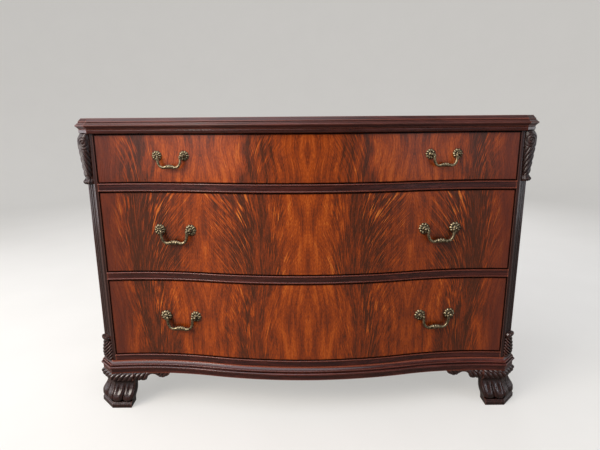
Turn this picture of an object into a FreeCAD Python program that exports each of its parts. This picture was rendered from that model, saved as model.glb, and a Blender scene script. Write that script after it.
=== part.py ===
import FreeCAD, Part
import math
import os

os.makedirs("parts", exist_ok=True)

# Serpentine chest of three drawers, millimetres.
# Origin: middle of the footprint on the floor. Front faces -Y, +Z up.

# Plan of the case
HALF_WIDTH = 627.0        # outer face of each case side
BACK_Y = 278.0            # rear of sides, back and top
FACE_Y = -260.0           # drawer face at the middle of the bow
BOW = 50.0                # how far the middle stands before the hollows
HOLLOW_X = 500.0          # deepest place of each hollow
INFLECT_X = 285.0         # bow turns into hollow here
CANT = 34.0               # canted corner, measured along X and along Y
CANT_X = HALF_WIDTH - CANT
OPENING_HALF = 585.0      # drawer opening, half width
SIDE_THICK = 20.0
POST_BACK_Y = -150.0

# Levels
FOOT_TOP = 111.5
BASE_TOP = 149.0
CASE_TOP = 838.0
TOP_Z = 868.0
UNDER_TOP_Z = 826.0
OPENINGS = {"lower": (168.0, 407.0), "middle": (430.0, 667.0), "upper": (690.0, 826.0)}
RAIL_BACK_Y = -150.0
RAIL_BEAD = 2.3           # radius of the bead along a rail's edges
GLUE_GAP = 0.3            # glue line between the bottom rail and the base moulding

# Drawers
DRAWER_GAP = 2.5
DRAWER_HALF = OPENING_HALF - DRAWER_GAP
VENEER = 1.0
FRONT_THICK = 24.0
SIDE_BOARD = 12.0
SIDE_OUT = 581.0
SIDE_LOWER = 14.0         # side boards stop this far under the top of the front
RUN_CLEAR = 0.5           # side boards above the runners
BOX_BACK_Y = 230.0
BOTTOM_THICK = 6.0
BOTTOM_RISE = 10.0
GROOVE = 6.0
TAIL_DEPTH = 11.0
TAIL_WIDTH = 22.0
TAIL_FLARE = 3.0

# Pulls: drawer, height of the posts, distance between them
PULL_X = 375.5
PULLS = {"lower": (294.5, 91.0), "middle": (557.0, 91.0), "upper": (766.0, 78.0)}
PULL_NOMINAL = 78.0       # post distance for which the pull sizes below hold
PIVOT_OUT = 14.0          # hinge line in front of the drawer face
POST_HEAD_R = 3.6
PIN_R = 1.5
PIN_CLEAR = 0.05
SHANK_R = 2.2
ROSETTE_R = 14.3
ROD_R = 3.2
SWELL_R = 5.2
BAIL_DROP = 29.3

# Carving at the corners
CORBEL_BOTTOM = 688.0
CORBEL_SHIFT = 2.5        # corbels sit nearer to the sides than to the drawers
LEAF_SHIFT = 2.0
REED_BOTTOM = 225.0
REED_R = 6.4
REED_STEP = 13.2
REED_SINK = 5.6

# Front feet and brackets
FOOT_IN_X = 533.0
FOOT_IN_Y = -124.0
LEG_IN_X = 605.0          # inner faces of a foot's two legs
LEG_IN_Y = -193.0
WING_LONG = 111.0
WING_THICK = 17.0

TURN = 2.0 * math.atan2(BOW, HOLLOW_X)
BOW_R = INFLECT_X / math.sin(TURN)
HOLLOW_R = (HOLLOW_X - INFLECT_X) / math.sin(TURN)
BOW_CENTRE_Y = FACE_Y + BOW_R
HOLLOW_CENTRE_Y = FACE_Y + BOW - HOLLOW_R
ROOT2 = math.sqrt(2.0)


def vec(x, y, z=0.0):
    return FreeCAD.Vector(x, y, z)


def box(x0, x1, y0, y1, z0, z1):
    return Part.makeBox(x1 - x0, y1 - y0, z1 - z0, vec(x0, y0, z0))


def line(a, b):
    return Part.LineSegment(a, b).toShape()


def polygon(points):
    return Part.makePolygon(points + [points[0]])


def prism(wire, height):
    return Part.Face(wire).extrude(vec(0, 0, height))


def loft(wires):
    return Part.makeLoft(wires, True, True)


def mirrored(shape):
    return shape.mirror(vec(0, 0, 0), vec(1, 0, 0))


def save(name, *solids):
    """Write one node: a single solid, or a group of separate solids."""
    shape = solids[0] if len(solids) == 1 else Part.makeCompound(list(solids))
    shape.exportStep(f"parts/{name}.step")


def front_y(x, out=0.0):
    """Y of the serpentine face at x, moved outwards by `out` along its normal."""
    x = abs(x)
    if x <= (BOW_R + out) * math.sin(TURN):
        return BOW_CENTRE_Y - math.sqrt((BOW_R + out) ** 2 - x * x)
    return HOLLOW_CENTRE_Y + math.sqrt((HOLLOW_R - out) ** 2 - (x - HOLLOW_X) ** 2)


CANT_Y = front_y(CANT_X)


def front_arcs(out, half, z):
    """Hollow, bow and hollow: three tangent arcs from -half to +half."""
    turn_x = (BOW_R + out) * math.sin(TURN)
    stations = [-half, -turn_x, turn_x, half]
    arcs = []
    for a, b in zip(stations, stations[1:]):
        through = [vec(x, front_y(x, out), z) for x in (a, 0.5 * (a + b), b)]
        arcs.append(Part.Arc(*through).toShape())
    return arcs


def front_wire(out, half, back, z):
    """Closed outline: serpentine front, straight ends and straight back."""
    corner = vec(half, front_y(half, out), z)
    edges = front_arcs(out, half, z)
    edges.append(line(corner, vec(half, back, z)))
    edges.append(line(vec(half, back, z), vec(-half, back, z)))
    edges.append(line(vec(-half, back, z), vec(-half, corner.y, z)))
    return Part.Wire(edges)


def cant_start(out):
    """X where the serpentine face, moved outwards, meets the canted corner."""
    low, high = CANT_X - 60.0, CANT_X + 60.0
    for _ in range(60):
        x = 0.5 * (low + high)
        if x - CANT_X + CANT_Y - out * ROOT2 < front_y(x, out):
            low = x
        else:
            high = x
    return low


def case_wire(out, z, back=BACK_Y):
    """Outline of the whole case, moved outwards: front, cants, sides and back."""
    x_front = cant_start(out)
    x_side = HALF_WIDTH + out
    y_side = CANT_Y + CANT - out * (ROOT2 - 1.0)
    right = [vec(x_front, front_y(x_front, out), z), vec(x_side, y_side, z), vec(x_side, back, z)]
    left = [vec(-p.x, p.y, z) for p in right]
    edges = front_arcs(out, x_front, z)
    edges += [line(right[0], right[1]), line(right[1], right[2]), line(right[2], left[2])]
    edges += [line(left[2], left[1]), line(left[1], left[0])]
    return Part.Wire(edges)


def bead(z, out, radius, steps=6):
    """Half-round from its lower to its upper edge, as (height, projection)."""
    angles = [math.pi * i / steps for i in range(steps + 1)]
    return [(z - radius * math.cos(a), out + radius * math.sin(a)) for a in angles]


def cut_all(shape, tools):
    for tool in tools:
        shape = shape.cut(tool)
    return shape


def moulding_strips(name, profile):
    """Strip round front and sides, butted behind the cants into three pieces."""
    low, high = profile[0][0], profile[-1][0]
    ring = loft([case_wire(out, z) for z, out in profile])
    ring = ring.cut(prism(case_wire(0.0, low - 1.0, BACK_Y + 1.0), high - low + 2.0))
    joint_y = CANT_Y + CANT
    reach = HALF_WIDTH + 50.0
    save(name + "_front", ring.common(box(-reach, reach, -reach, joint_y, low, high)))
    save(name + "_left", ring.common(box(-reach, 0, joint_y, reach, low, high)))
    save(name + "_right", ring.common(box(0, reach, joint_y, reach, low, high)))


# Top and the mouldings
UNDER_TOP = [(UNDER_TOP_Z, 5.0), (828.0, 8.0), (832.0, 9.2), (836.0, 9.2), (CASE_TOP, 6.5)]
TOP_EDGE = [(CASE_TOP, 9.0), (840.0, 9.6), (842.0, 11.2), (843.8, 13.4)]
TOP_EDGE += bead(848.0, 13.4, 3.6)
TOP_EDGE += [(852.4, 12.2), (855.0, 11.2), (859.5, 8.0), (864.0, 4.2), (TOP_Z, 1.0)]
BASE = [(FOOT_TOP, 11.5), (124.5, 11.5), (125.3, 10.0)]
BASE += bead(129.8, 12.5, 4.0)
BASE += [(134.6, 10.0)] + bead(138.4, 9.4, 2.6)
BASE += [(142.0, 7.2), (144.8, 4.2), (147.0, 2.6), (BASE_TOP, 2.0)]

save("top_panel", loft([case_wire(out, z) for z, out in TOP_EDGE]))
moulding_strips("under_top_moulding", UNDER_TOP)
moulding_strips("base_moulding", BASE)


# Sides, back and the screws that hold the back
BACK_THICK = 8.0
REBATE = 10.0
SCREW_R = 1.9
SCREW_HEAD_R = 3.8
SCREW_LONG = 28.0
SCREW_COUNT = 5


def back_screw(x, z):
    """Countersunk screw driven forwards, its head flush with the back."""
    rim = BACK_Y - 0.2
    head = Part.makeCone(SCREW_HEAD_R, SCREW_R, 3.0, vec(x, rim, z), vec(0, -1, 0))
    shank = Part.makeCylinder(SCREW_R, SCREW_LONG, vec(x, rim, z), vec(0, -1, 0))
    return head.fuse(shank).removeSplitter()


side_x = HALF_WIDTH - SIDE_THICK
screw_levels = [FOOT_TOP + 40.0 + 160.0 * i for i in range(SCREW_COUNT)]
screws = [back_screw(s * (side_x + 0.5 * REBATE), z) for s in (-1, 1) for z in screw_levels]
back_half = side_x + REBATE
back_panel = box(-back_half, back_half, BACK_Y - BACK_THICK, BACK_Y, FOOT_TOP, CASE_TOP)
back_panel = cut_all(back_panel, screws)
side = box(side_x, HALF_WIDTH, POST_BACK_Y, BACK_Y, FOOT_TOP, CASE_TOP)
side = side.cut(box(side_x - 1, back_half, BACK_Y - BACK_THICK, BACK_Y + 1, FOOT_TOP, CASE_TOP))
save("back_panel", back_panel)
save("side_panel_right", cut_all(side, screws))
save("side_panel_left", cut_all(mirrored(side), screws))
save("back_screws", *screws)


# Corner posts with three reeds and a carved leaf at the foot of each
def on_cant(along, proud, z):
    """Point on the right-hand canted face: along it, proud of it, at height z."""
    mid_x, mid_y = CANT_X + 0.5 * CANT, CANT_Y + 0.5 * CANT
    return vec(mid_x + (along + proud) / ROOT2, mid_y + (along - proud) / ROOT2, z)


def carved_section(half, proud, z, sunk=0.0, shift=0.0):
    """Rounded cross-section of a carving, flat against the canted face."""
    outer = [(-1.0, 0.5), (-0.55, 0.88), (0.0, 1.0), (0.55, 0.88), (1.0, 0.5)]
    points = [on_cant(shift - half, -sunk, z)]
    points += [on_cant(shift + u * half, v * proud, z) for u, v in outer]
    points.append(on_cant(shift + half, -sunk, z))
    return polygon(points)


LEAF = [(BASE_TOP, 20.5, 11.0), (160.0, 21.5, 14.0), (185.0, 20.5, 13.5), (202.0, 17.5, 11.5),
        (211.0, 16.0, 12.0), (219.0, 18.0, 17.0), (REED_BOTTOM, 14.5, 16.0)]
CORBEL = [(CORBEL_BOTTOM, 17.5, 14.0), (694.0, 18.5, 17.5), (701.0, 16.5, 12.5), (716.0, 17.5, 13.5),
          (745.0, 19.5, 16.5), (775.0, 21.0, 19.5), (800.0, 21.5, 21.0), (815.0, 21.5, 19.5),
          (UNDER_TOP_Z, 20.5, 12.5)]

reach = HALF_WIDTH + 1.0
post = prism(case_wire(0.0, FOOT_TOP), CASE_TOP - FOOT_TOP)
post = post.common(box(OPENING_HALF, reach, -reach, POST_BACK_Y, FOOT_TOP, CASE_TOP))
reed_half = 1.5 * REED_STEP
recess = polygon([on_cant(-reed_half, -REED_SINK, REED_BOTTOM), on_cant(reed_half, -REED_SINK, REED_BOTTOM),
                  on_cant(reed_half, 5, REED_BOTTOM), on_cant(-reed_half, 5, REED_BOTTOM)])
post = post.cut(prism(recess, CORBEL_BOTTOM - REED_BOTTOM))
for step in (-1, 0, 1):
    foot = on_cant(step * REED_STEP, -REED_SINK - 0.8, REED_BOTTOM)
    post = post.fuse(Part.makeCylinder(REED_R, CORBEL_BOTTOM - REED_BOTTOM, foot))
post = post.fuse(loft([carved_section(half, proud, z, 1.0, LEAF_SHIFT) for z, half, proud in LEAF]))
post = post.removeSplitter()
corbel = loft([carved_section(half, proud, z, shift=CORBEL_SHIFT) for z, half, proud in CORBEL])
save("corner_post_right", post)
save("corner_post_left", mirrored(post))
save("corner_corbel_right", corbel)
save("corner_corbel_left", mirrored(corbel))


# Rails between the drawers, beaded along their edges
def rail(low, high, beads, start=()):
    """Serpentine rail; `beads` lists the middles of its beads from the bottom up."""
    profile = list(start) or [(low, 0.0)]
    for z in beads:
        profile += bead(z, 0.0, RAIL_BEAD)[1:-1]
        profile.append((z + RAIL_BEAD, 0.0))
    if profile[-1][0] < high:
        profile.append((high, 0.0))
    return loft([front_wire(out, OPENING_HALF, RAIL_BACK_Y, z) for z, out in profile])


def edge_beads(low, high):
    return [low + RAIL_BEAD, high - RAIL_BEAD]


lower_open, middle_open, upper_open = OPENINGS["lower"], OPENINGS["middle"], OPENINGS["upper"]
save("top_rail", rail(UNDER_TOP_Z, CASE_TOP, []))
save("divider_upper", rail(middle_open[1], upper_open[0], edge_beads(middle_open[1], upper_open[0])))
save("divider_lower", rail(lower_open[1], middle_open[0], edge_beads(lower_open[1], middle_open[0])))
behind_base = [(FOOT_TOP, -GLUE_GAP), (BASE_TOP, -GLUE_GAP), (BASE_TOP + GLUE_GAP, 0.0)]
save("bottom_rail", rail(FOOT_TOP, lower_open[0], [lower_open[0] - RAIL_BEAD], behind_base))

# Dust panels, runners with a guide lip, and stops behind the drawer fronts
RUNNER_IN = 556.0
RUNNER_DEEP = 18.0
LIP_HIGH = 16.0
PANEL_DEEP = 6.0
PANEL_DROP = 12.0
STOP_X = 110.0
STOP_HALF = 20.0
STOP_DEEP = 14.0
STOP_HIGH = 7.0
inner_back = BACK_Y - BACK_THICK
panels, runners, stops = [], [], []
for low, high in OPENINGS.values():
    panel_z = low - PANEL_DROP
    panels.append(box(-RUNNER_IN, RUNNER_IN, RAIL_BACK_Y, inner_back, panel_z - PANEL_DEEP, panel_z))
    runner = box(RUNNER_IN, side_x, RAIL_BACK_Y, inner_back, low - RUNNER_DEEP, low)
    lip = box(OPENING_HALF, side_x, RAIL_BACK_Y, inner_back, low, low + LIP_HIGH)
    runner = runner.fuse(lip).removeSplitter()
    runners += [runner, mirrored(runner)]
    stop_y = front_y(STOP_X + STOP_HALF, -FRONT_THICK) + DRAWER_GAP
    for x in (-STOP_X, STOP_X):
        stops.append(box(x - STOP_HALF, x + STOP_HALF, stop_y, stop_y + STOP_DEEP, low, low + STOP_HIGH))
save("dust_panels", *panels)
save("drawer_runners", *runners)
save("drawer_stops", *stops)


# Front feet, rear feet and bracket wings
FOOT = [(0.0, 21.5), (13.0, 21.5), (14.0, 19.5), (17.0, 19.5), (18.5, 16.5), (21.5, 20.5), (27.0, 23.6),
        (34.0, 23.8), (42.0, 21.0), (51.0, 15.8), (60.0, 10.2), (69.0, 5.2), (75.0, 3.4), (79.0, 4.6),
        (82.5, 9.5), (87.0, 14.5), (93.0, 17.6), (99.0, 18.4), (104.5, 17.0), (108.5, 14.0), (FOOT_TOP, 10.0)]
FOOT_TAPER = [(0.0, 11.0), (18.0, 9.5), (31.0, 5.0), (45.0, 1.5), (60.0, 0.0), (FOOT_TOP, 0.0)]
REAR_FOOT = [(0.0, 10.0), (22.0, 10.0), (58.0, 3.0), (90.0, 9.0), (FOOT_TOP, 11.0)]
REAR_FOOT_IN_X = 560.0
REAR_FOOT_IN_Y = 205.0


def foot_inset(z):
    """How far a foot's inner ends are set back at height z."""
    for (z0, a), (z1, b) in zip(FOOT_TAPER, FOOT_TAPER[1:]):
        if z <= z1:
            return a + (b - a) * (z - z0) / (z1 - z0)
    return 0.0


def foot_wire(out, z):
    """Two legs meeting at the canted corner: outer faces move outwards, inner ends taper."""
    shift = out * (ROOT2 - 1.0)
    in_x, in_y = FOOT_IN_X + foot_inset(z), FOOT_IN_Y - foot_inset(z)
    points = [vec(in_x, CANT_Y - out, z), vec(CANT_X + shift, CANT_Y - out, z)]
    points += [vec(HALF_WIDTH + out, CANT_Y + CANT - shift, z), vec(HALF_WIDTH + out, in_y, z)]
    points += [vec(LEG_IN_X, in_y, z), vec(LEG_IN_X, LEG_IN_Y, z), vec(in_x, LEG_IN_Y, z)]
    return polygon(points)


def rear_foot_wire(out, z):
    outer = HALF_WIDTH + out
    points = [vec(REAR_FOOT_IN_X, REAR_FOOT_IN_Y, z), vec(outer, REAR_FOOT_IN_Y, z)]
    points += [vec(outer, BACK_Y, z), vec(REAR_FOOT_IN_X, BACK_Y, z)]
    return polygon(points)


def wing_face(place):
    """Scalloped bracket outline; place(u, z) sets it u inwards from the foot."""
    foot_low, step = (0.0, 82.0), (36.0, 84.5)
    rise, crown = (46.0, 102.0), (67.0, 103.0)
    pendant = (93.0, 95.0)
    tip = (WING_LONG, FOOT_TOP)
    edges = [line(place(0.0, FOOT_TOP), place(*tip))]
    arcs = [(tip, (106.0, 102.0), pendant), (pendant, (80.0, 94.5), crown), (crown, (56.5, 105.5), rise),
            (rise, (40.0, 95.0), step)]
    edges += [Part.Arc(*[place(u, z) for u, z in arc]).toShape() for arc in arcs]
    edges += [line(place(*step), place(*foot_low)), line(place(*foot_low), place(0.0, FOOT_TOP))]
    return Part.Face(Part.Wire(edges))


front_foot = loft([foot_wire(out, z) for z, out in FOOT])
rear_foot = loft([rear_foot_wire(out, z) for z, out in REAR_FOOT])
save("front_foot_right", front_foot)
save("front_foot_left", mirrored(front_foot))
save("rear_foot_right", rear_foot)
save("rear_foot_left", mirrored(rear_foot))

WING_OUT = 14.0
low_z = FOOT_TOP - 40.0
wing_band = prism(front_wire(WING_OUT, FOOT_IN_X, 0.0, low_z), 40.0)
wing_band = wing_band.cut(prism(front_wire(WING_OUT - WING_THICK, FOOT_IN_X + 1, 1.0, low_z - 1), 42.0))
front_wing = wing_face(lambda u, z: vec(FOOT_IN_X - u, -HALF_WIDTH, z)).extrude(vec(0, HALF_WIDTH, 0))
front_wing = front_wing.common(wing_band)
side_wing = wing_face(lambda u, z: vec(HALF_WIDTH + WING_OUT - WING_THICK, FOOT_IN_Y + u, z))
side_wing = side_wing.extrude(vec(WING_THICK, 0, 0))
save("bracket_wings", front_wing, mirrored(front_wing), side_wing, mirrored(side_wing))


# Drawers
def tails(low, high):
    """Half-blind dovetail tails of the right-hand drawer side."""
    root_y = front_y(SIDE_OUT, -FRONT_THICK)
    count = 3 if high - low < 150.0 else 5
    pitch = (high - low) / count
    result = []
    for i in range(count):
        mid = low + pitch * (i + 0.5)
        half = 0.5 * TAIL_WIDTH
        profile = [(root_y + 6, half - TAIL_FLARE), (root_y, half - TAIL_FLARE), (root_y - TAIL_DEPTH, half)]
        upper = [vec(SIDE_OUT - SIDE_BOARD, y, mid + h) for y, h in profile]
        lower = [vec(p.x, p.y, 2 * mid - p.z) for p in reversed(upper)]
        result.append(Part.Face(polygon(upper + lower)).extrude(vec(SIDE_BOARD, 0, 0)))
    return result


def pull_frame(side):
    """Middle of a pull on the drawer face and the turn of the face there."""
    y = front_y(PULL_X)
    turn = math.degrees(math.asin((HOLLOW_X - PULL_X) / HOLLOW_R))
    return FreeCAD.Placement(vec(side * PULL_X, y, 0), FreeCAD.Rotation(vec(0, 0, 1), side * turn))


def placed(shape, placement):
    shape = shape.copy()
    shape.Placement = placement.multiply(shape.Placement)
    return shape


def post_shape(x, z, size):
    """Threaded post with a drilled round head; local front is -Y."""
    shank = Part.makeCylinder(SHANK_R, PIVOT_OUT + FRONT_THICK + 9.0, vec(x, -PIVOT_OUT, z), vec(0, 1, 0))
    post_solid = Part.makeSphere(POST_HEAD_R * size, vec(x, -PIVOT_OUT, z)).fuse(shank)
    bore = Part.makeCylinder(PIN_R + PIN_CLEAR, 30.0, vec(x - 15.0, -PIVOT_OUT, z), vec(1, 0, 0))
    return post_solid.cut(bore)


def rosette_shape(x, z, size):
    """Domed round plate behind the post, deep enough to be fitted to the face."""
    radius = ROSETTE_R * size
    profile = [(SHANK_R + 0.1, 3.0), (radius, 3.0), (radius, -2.0), (0.8 * radius, -3.6)]
    profile += [(0.45 * radius, -4.4), (0.3 * radius, -6.6), (SHANK_R + 0.1, -7.2)]
    ring = polygon([vec(x + r, y, z) for r, y in profile])
    return Part.Face(ring).revolve(vec(x, 0, z), vec(0, 1, 0), 360)


def nut_shape(x, z):
    inner = FRONT_THICK + 0.6
    plate = Part.makeCylinder(6.0, 5.0, vec(x, inner, z), vec(0, 1, 0))
    return plate.cut(Part.makeCylinder(SHANK_R, 20.0, vec(x, inner - 5, z), vec(0, 1, 0)))


def bail_shape(spacing, z):
    """Swan-neck bail hanging from two pins, with a swelled middle."""
    size = spacing / PULL_NOMINAL
    rod = ROD_R * size
    post_x = 0.5 * spacing
    arm_x = post_x - POST_HEAD_R * size - rod - 0.5
    path = [(0.0, 0.0), (0.4, -8.0), (-0.2, -15.5), (-3.0, -22.5), (-8.4, -28.0), (-15.5, -30.2)]
    spots = [vec(arm_x + x * size, -PIVOT_OUT, z + drop * size) for x, drop in path]
    spots.append(vec(0, -PIVOT_OUT, z - BAIL_DROP * size))
    solids = [Part.makeCylinder(PIN_R, post_x + POST_HEAD_R * size - arm_x, spots[0], vec(1, 0, 0))]
    for a, b in zip(spots, spots[1:]):
        solids.append(Part.makeCylinder(rod, a.distanceToPoint(b), a, b - a))
        solids.append(Part.makeSphere(rod, a))
    half = solids[0].multiFuse(solids[1:])
    swell = Part.makeCone(SWELL_R * size, rod, 15.0 * size, spots[-1], vec(1, 0, 0))
    half = half.fuse(swell)
    return half.fuse(mirrored(half)).removeSplitter()


for name, (low, high) in OPENINGS.items():
    foot_z, head_z = low + DRAWER_GAP, high - DRAWER_GAP
    tall = head_z - foot_z
    post_z, spacing = PULLS[name]
    size = spacing / PULL_NOMINAL
    hollow = prism(front_wire(-FRONT_THICK, DRAWER_HALF + 1, 1.0, foot_z - 1), tall + 2)
    core = prism(front_wire(-VENEER, DRAWER_HALF, 0.0, foot_z), tall).cut(hollow)
    face = prism(front_wire(0.0, DRAWER_HALF, 0.0, foot_z), tall)
    skin = face.cut(prism(front_wire(-VENEER, DRAWER_HALF + 1, 1.0, foot_z - 1), tall + 2))

    side_low, side_high = low + RUN_CLEAR, head_z - SIDE_LOWER
    side_tails = tails(side_low, side_high)
    board = box(SIDE_OUT - SIDE_BOARD, SIDE_OUT, -300.0, BOX_BACK_Y, side_low, side_high)
    inside = prism(front_wire(-FRONT_THICK, DRAWER_HALF, 300.0, low - 20), tall + 60)
    board = board.common(inside).multiFuse(side_tails).removeSplitter()
    floor_z = side_low + BOTTOM_RISE
    floor_half = SIDE_OUT - SIDE_BOARD + GROOVE
    bottom = prism(front_wire(GROOVE - FRONT_THICK, floor_half, BOX_BACK_Y, floor_z), BOTTOM_THICK)
    back = box(-SIDE_OUT + SIDE_BOARD, SIDE_OUT - SIDE_BOARD, BOX_BACK_Y - SIDE_BOARD, BOX_BACK_Y,
               floor_z + BOTTOM_THICK, side_high - 4.0)
    board = board.cut(bottom)
    core = cut_all(core, side_tails + [mirrored(t) for t in side_tails] + [bottom])

    rosettes, posts, nuts = [], [], []
    for side_sign, hand in ((-1, "left"), (1, "right")):
        frame = pull_frame(side_sign)
        save(f"{name}_bail_{hand}", placed(bail_shape(spacing, post_z), frame))
        for x in (-0.5 * spacing, 0.5 * spacing):
            drill = Part.makeCylinder(SHANK_R, 90.0, vec(x, -30.0, post_z), vec(0, 1, 0))
            drill = placed(drill, frame)
            rosettes.append(placed(rosette_shape(x, post_z, size), frame).cut(face))
            posts.append(placed(post_shape(x, post_z, size), frame))
            nuts.append(placed(nut_shape(x, post_z), frame).cut(core))
            core = core.cut(drill)
            skin = skin.cut(drill)

    leaf_wide = 0.5 * DRAWER_HALF
    leaves = []
    for i in range(4):
        start = -DRAWER_HALF + i * leaf_wide
        leaves.append(skin.common(box(start, start + leaf_wide, -400.0, 0.0, foot_z, head_z)))
    save(f"{name}_drawer_front", core)
    save(f"{name}_drawer_veneer", *leaves)
    save(f"{name}_drawer_side_right", board)
    save(f"{name}_drawer_side_left", mirrored(board))
    save(f"{name}_drawer_back", back)
    save(f"{name}_drawer_bottom", bottom)
    save(f"{name}_pull_rosettes", *rosettes)
    save(f"{name}_pull_posts", *posts)
    save(f"{name}_pull_nuts", *nuts)
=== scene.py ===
"""Serpentine mahogany chest of drawers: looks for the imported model."""
import logging
import math
from dataclasses import dataclass, field
from enum import Enum
from functools import partial
from typing import Callable, Iterable, Sequence

import bmesh
import bpy
import numpy as np
from mathutils import Matrix, Vector


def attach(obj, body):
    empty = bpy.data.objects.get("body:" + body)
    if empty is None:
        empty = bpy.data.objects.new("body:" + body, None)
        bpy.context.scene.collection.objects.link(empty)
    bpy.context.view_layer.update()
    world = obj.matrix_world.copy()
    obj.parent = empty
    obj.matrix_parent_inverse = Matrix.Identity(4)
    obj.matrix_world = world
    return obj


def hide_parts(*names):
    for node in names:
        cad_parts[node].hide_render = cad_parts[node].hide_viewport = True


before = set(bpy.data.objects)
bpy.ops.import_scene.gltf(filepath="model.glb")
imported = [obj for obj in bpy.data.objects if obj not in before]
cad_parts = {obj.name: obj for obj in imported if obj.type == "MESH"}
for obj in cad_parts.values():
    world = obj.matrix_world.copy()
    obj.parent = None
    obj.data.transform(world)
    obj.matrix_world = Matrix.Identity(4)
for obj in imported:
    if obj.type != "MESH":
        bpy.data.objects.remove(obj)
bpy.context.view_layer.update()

MM = 0.001
ROOT_2 = math.sqrt(2.0)
FULL_TURN = 2.0 * math.pi
QUARTER_TURN = 0.5 * math.pi
LOG = logging.getLogger("chest")

Array = np.ndarray
Profile = list[tuple[float, float]]
Pair = tuple[float, float]
Triple = tuple[float, float, float]


class Side(Enum):
    """The two halves of the chest, with the sign of X there."""

    LEFT = -1
    RIGHT = 1

    @property
    def word(self) -> str:
        """The side's name as it stands in node names."""
        return self.name.lower()

    def mirror(self, points: Array) -> Array:
        """Place right-hand points on this side of the chest."""
        return points * np.array([self.value, 1.0, 1.0])


class Tier(Enum):
    """The three drawers, from the floor up."""

    LOWER = "lower"
    MIDDLE = "middle"
    UPPER = "upper"


class Make(Enum):
    """How a new piece is made: the last word of its name, and a slot name, which is not used."""

    SMOOTH = ("smooth", "mahogany")
    CARVED = ("carved", "carved_mahogany")
    LEAVES = ("leaves", "flame_veneer")
    CAST = ("cast", "antique_brass")


# Small tools


def linear(code: str) -> tuple[float, float, float, float]:
    """Turn an sRGB hex colour into linear RGBA.

    Args:
        code: six hex digits.

    Returns:
        Linear red, green, blue and an alpha of one.
    """
    srgb = np.array([int(code[i:i + 2], 16) / 255.0 for i in (0, 2, 4)])
    rgb = np.where(srgb <= 0.04045, srgb / 12.92, ((srgb + 0.055) / 1.055) ** 2.4)
    return (float(rgb[0]), float(rgb[1]), float(rgb[2]), 1.0)


def smooth(low: float, high: float, x: Array | float) -> Array:
    """Ease from 0 at low to 1 at high along 3t^2 - 2t^3.

    Args:
        low: where the rise starts.
        high: where it ends; below low, the curve falls instead.
        x: the values to ease.

    Returns:
        The eased values.
    """
    t = np.clip((np.asarray(x, float) - low) / (high - low), 0.0, 1.0)
    return t * t * (3.0 - 2.0 * t)


def band(rise: Pair, fall: Pair, x: Array) -> Array:
    """Ease up over one range of x and down again over another."""
    return smooth(*rise, x) * (1.0 - smooth(*fall, x))


def grid_of(x: Array, y: Array, z: Array) -> Array:
    """Spread X, Y and Z over one grid, with the three of them on its last axis."""
    return np.stack(np.broadcast_arrays(x, y, z), axis=-1)


@dataclass(frozen=True)
class Cut:
    """Cut of a veining gouge: its depth on the line, falling off as a bell curve of its width."""

    depth: float
    width: float

    def at(self, distance: Array) -> Array:
        """Depth at a distance from the line."""
        return self.depth * np.exp(-(distance / self.width) ** 2)


def trace(knots: Sequence[Pair], at: Array) -> Array:
    """Smooth table: cubic Hermite pieces whose slopes are central differences.

    Args:
        knots: (place, value) pairs in rising order.
        at: the places asked for.

    Returns:
        The values there, held at the ends.
    """
    place, value = np.array(knots, float).T
    slope = np.gradient(value, place)
    i = np.clip(np.searchsorted(place, at, side="right") - 1, 0, len(place) - 2)
    step = place[i + 1] - place[i]
    t = np.clip((at - place[i]) / step, 0.0, 1.0)
    return ((1 + 2 * t) * (1 - t) ** 2 * value[i] + t * (1 - t) ** 2 * step * slope[i]
            + t ** 2 * (3 - 2 * t) * value[i + 1] + t ** 2 * (t - 1) * step * slope[i + 1])


def bead(z: float, out: float, radius: float, steps: int = 12) -> Profile:
    """Half-round moulding edge.

    Heights run as z - r cos(a), projections as out + r sin(a), a from 0 to pi.

    Args:
        z: height of its middle.
        out: projection of its root.
        radius: its radius.
        steps: arc divisions.

    Returns:
        (height, projection) pairs from the bottom up.
    """
    angles = np.linspace(0.0, math.pi, steps + 1)
    return [(z - radius * math.cos(a), out + radius * math.sin(a)) for a in angles]


def curve(points: Profile, steps: int = 6) -> Profile:
    """Round a profile with a Catmull-Rom curve through its points.

    Args:
        points: (height, projection) pairs.
        steps: divisions between two points.

    Returns:
        The finer profile.
    """
    knots = np.array([points[0], *points, points[-1]], float)
    a, b, c, d = (knots[i:len(knots) - 3 + i, None, :] for i in range(4))
    t = np.linspace(0.0, 1.0, steps, endpoint=False)[None, :, None]
    square = 2 * a - 5 * b + 4 * c - d
    cube = 3 * b - a - 3 * c + d
    fine = 0.5 * (2 * b + (c - a) * t + square * t ** 2 + cube * t ** 3)
    return [tuple(p) for p in fine.reshape(-1, 2)] + [points[-1]]


def fill(node: bpy.types.Node, inputs: dict | Sequence) -> None:
    """Set input sockets of a node.

    Args:
        node: the node.
        inputs: values by socket name or number, or in the sockets' order; a value that is
            itself a socket is linked.
    """
    for key, value in inputs.items() if isinstance(inputs, dict) else enumerate(inputs):
        if isinstance(value, bpy.types.NodeSocket):
            node.id_data.links.new(value, node.inputs[key])
        else:
            node.inputs[key].default_value = value


def add_node(tree: bpy.types.NodeTree, kind: str, inputs: dict | Sequence = (), out: str | int = 0,
             stops: Iterable[tuple[float, str]] = (), **settings: object) -> bpy.types.NodeSocket:
    """Add a shader node with its settings and links.

    Args:
        tree: the node tree.
        kind: the node's type name, after ShaderNode.
        inputs: what goes into its sockets.
        out: the output that is used.
        stops: places and hex colours of a colour ramp.
        settings: attributes of the node.

    Returns:
        The output socket.
    """
    made = tree.nodes.new(f"ShaderNode{kind}")
    for name, value in settings.items():
        setattr(made, name, value)
    fill(made, inputs)
    for number, (place, code) in enumerate(stops):
        elements = made.color_ramp.elements
        element = elements[number] if number < 2 else elements.new(place)
        element.position = place
        element.color = linear(code)
    return made.outputs[out]


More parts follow.
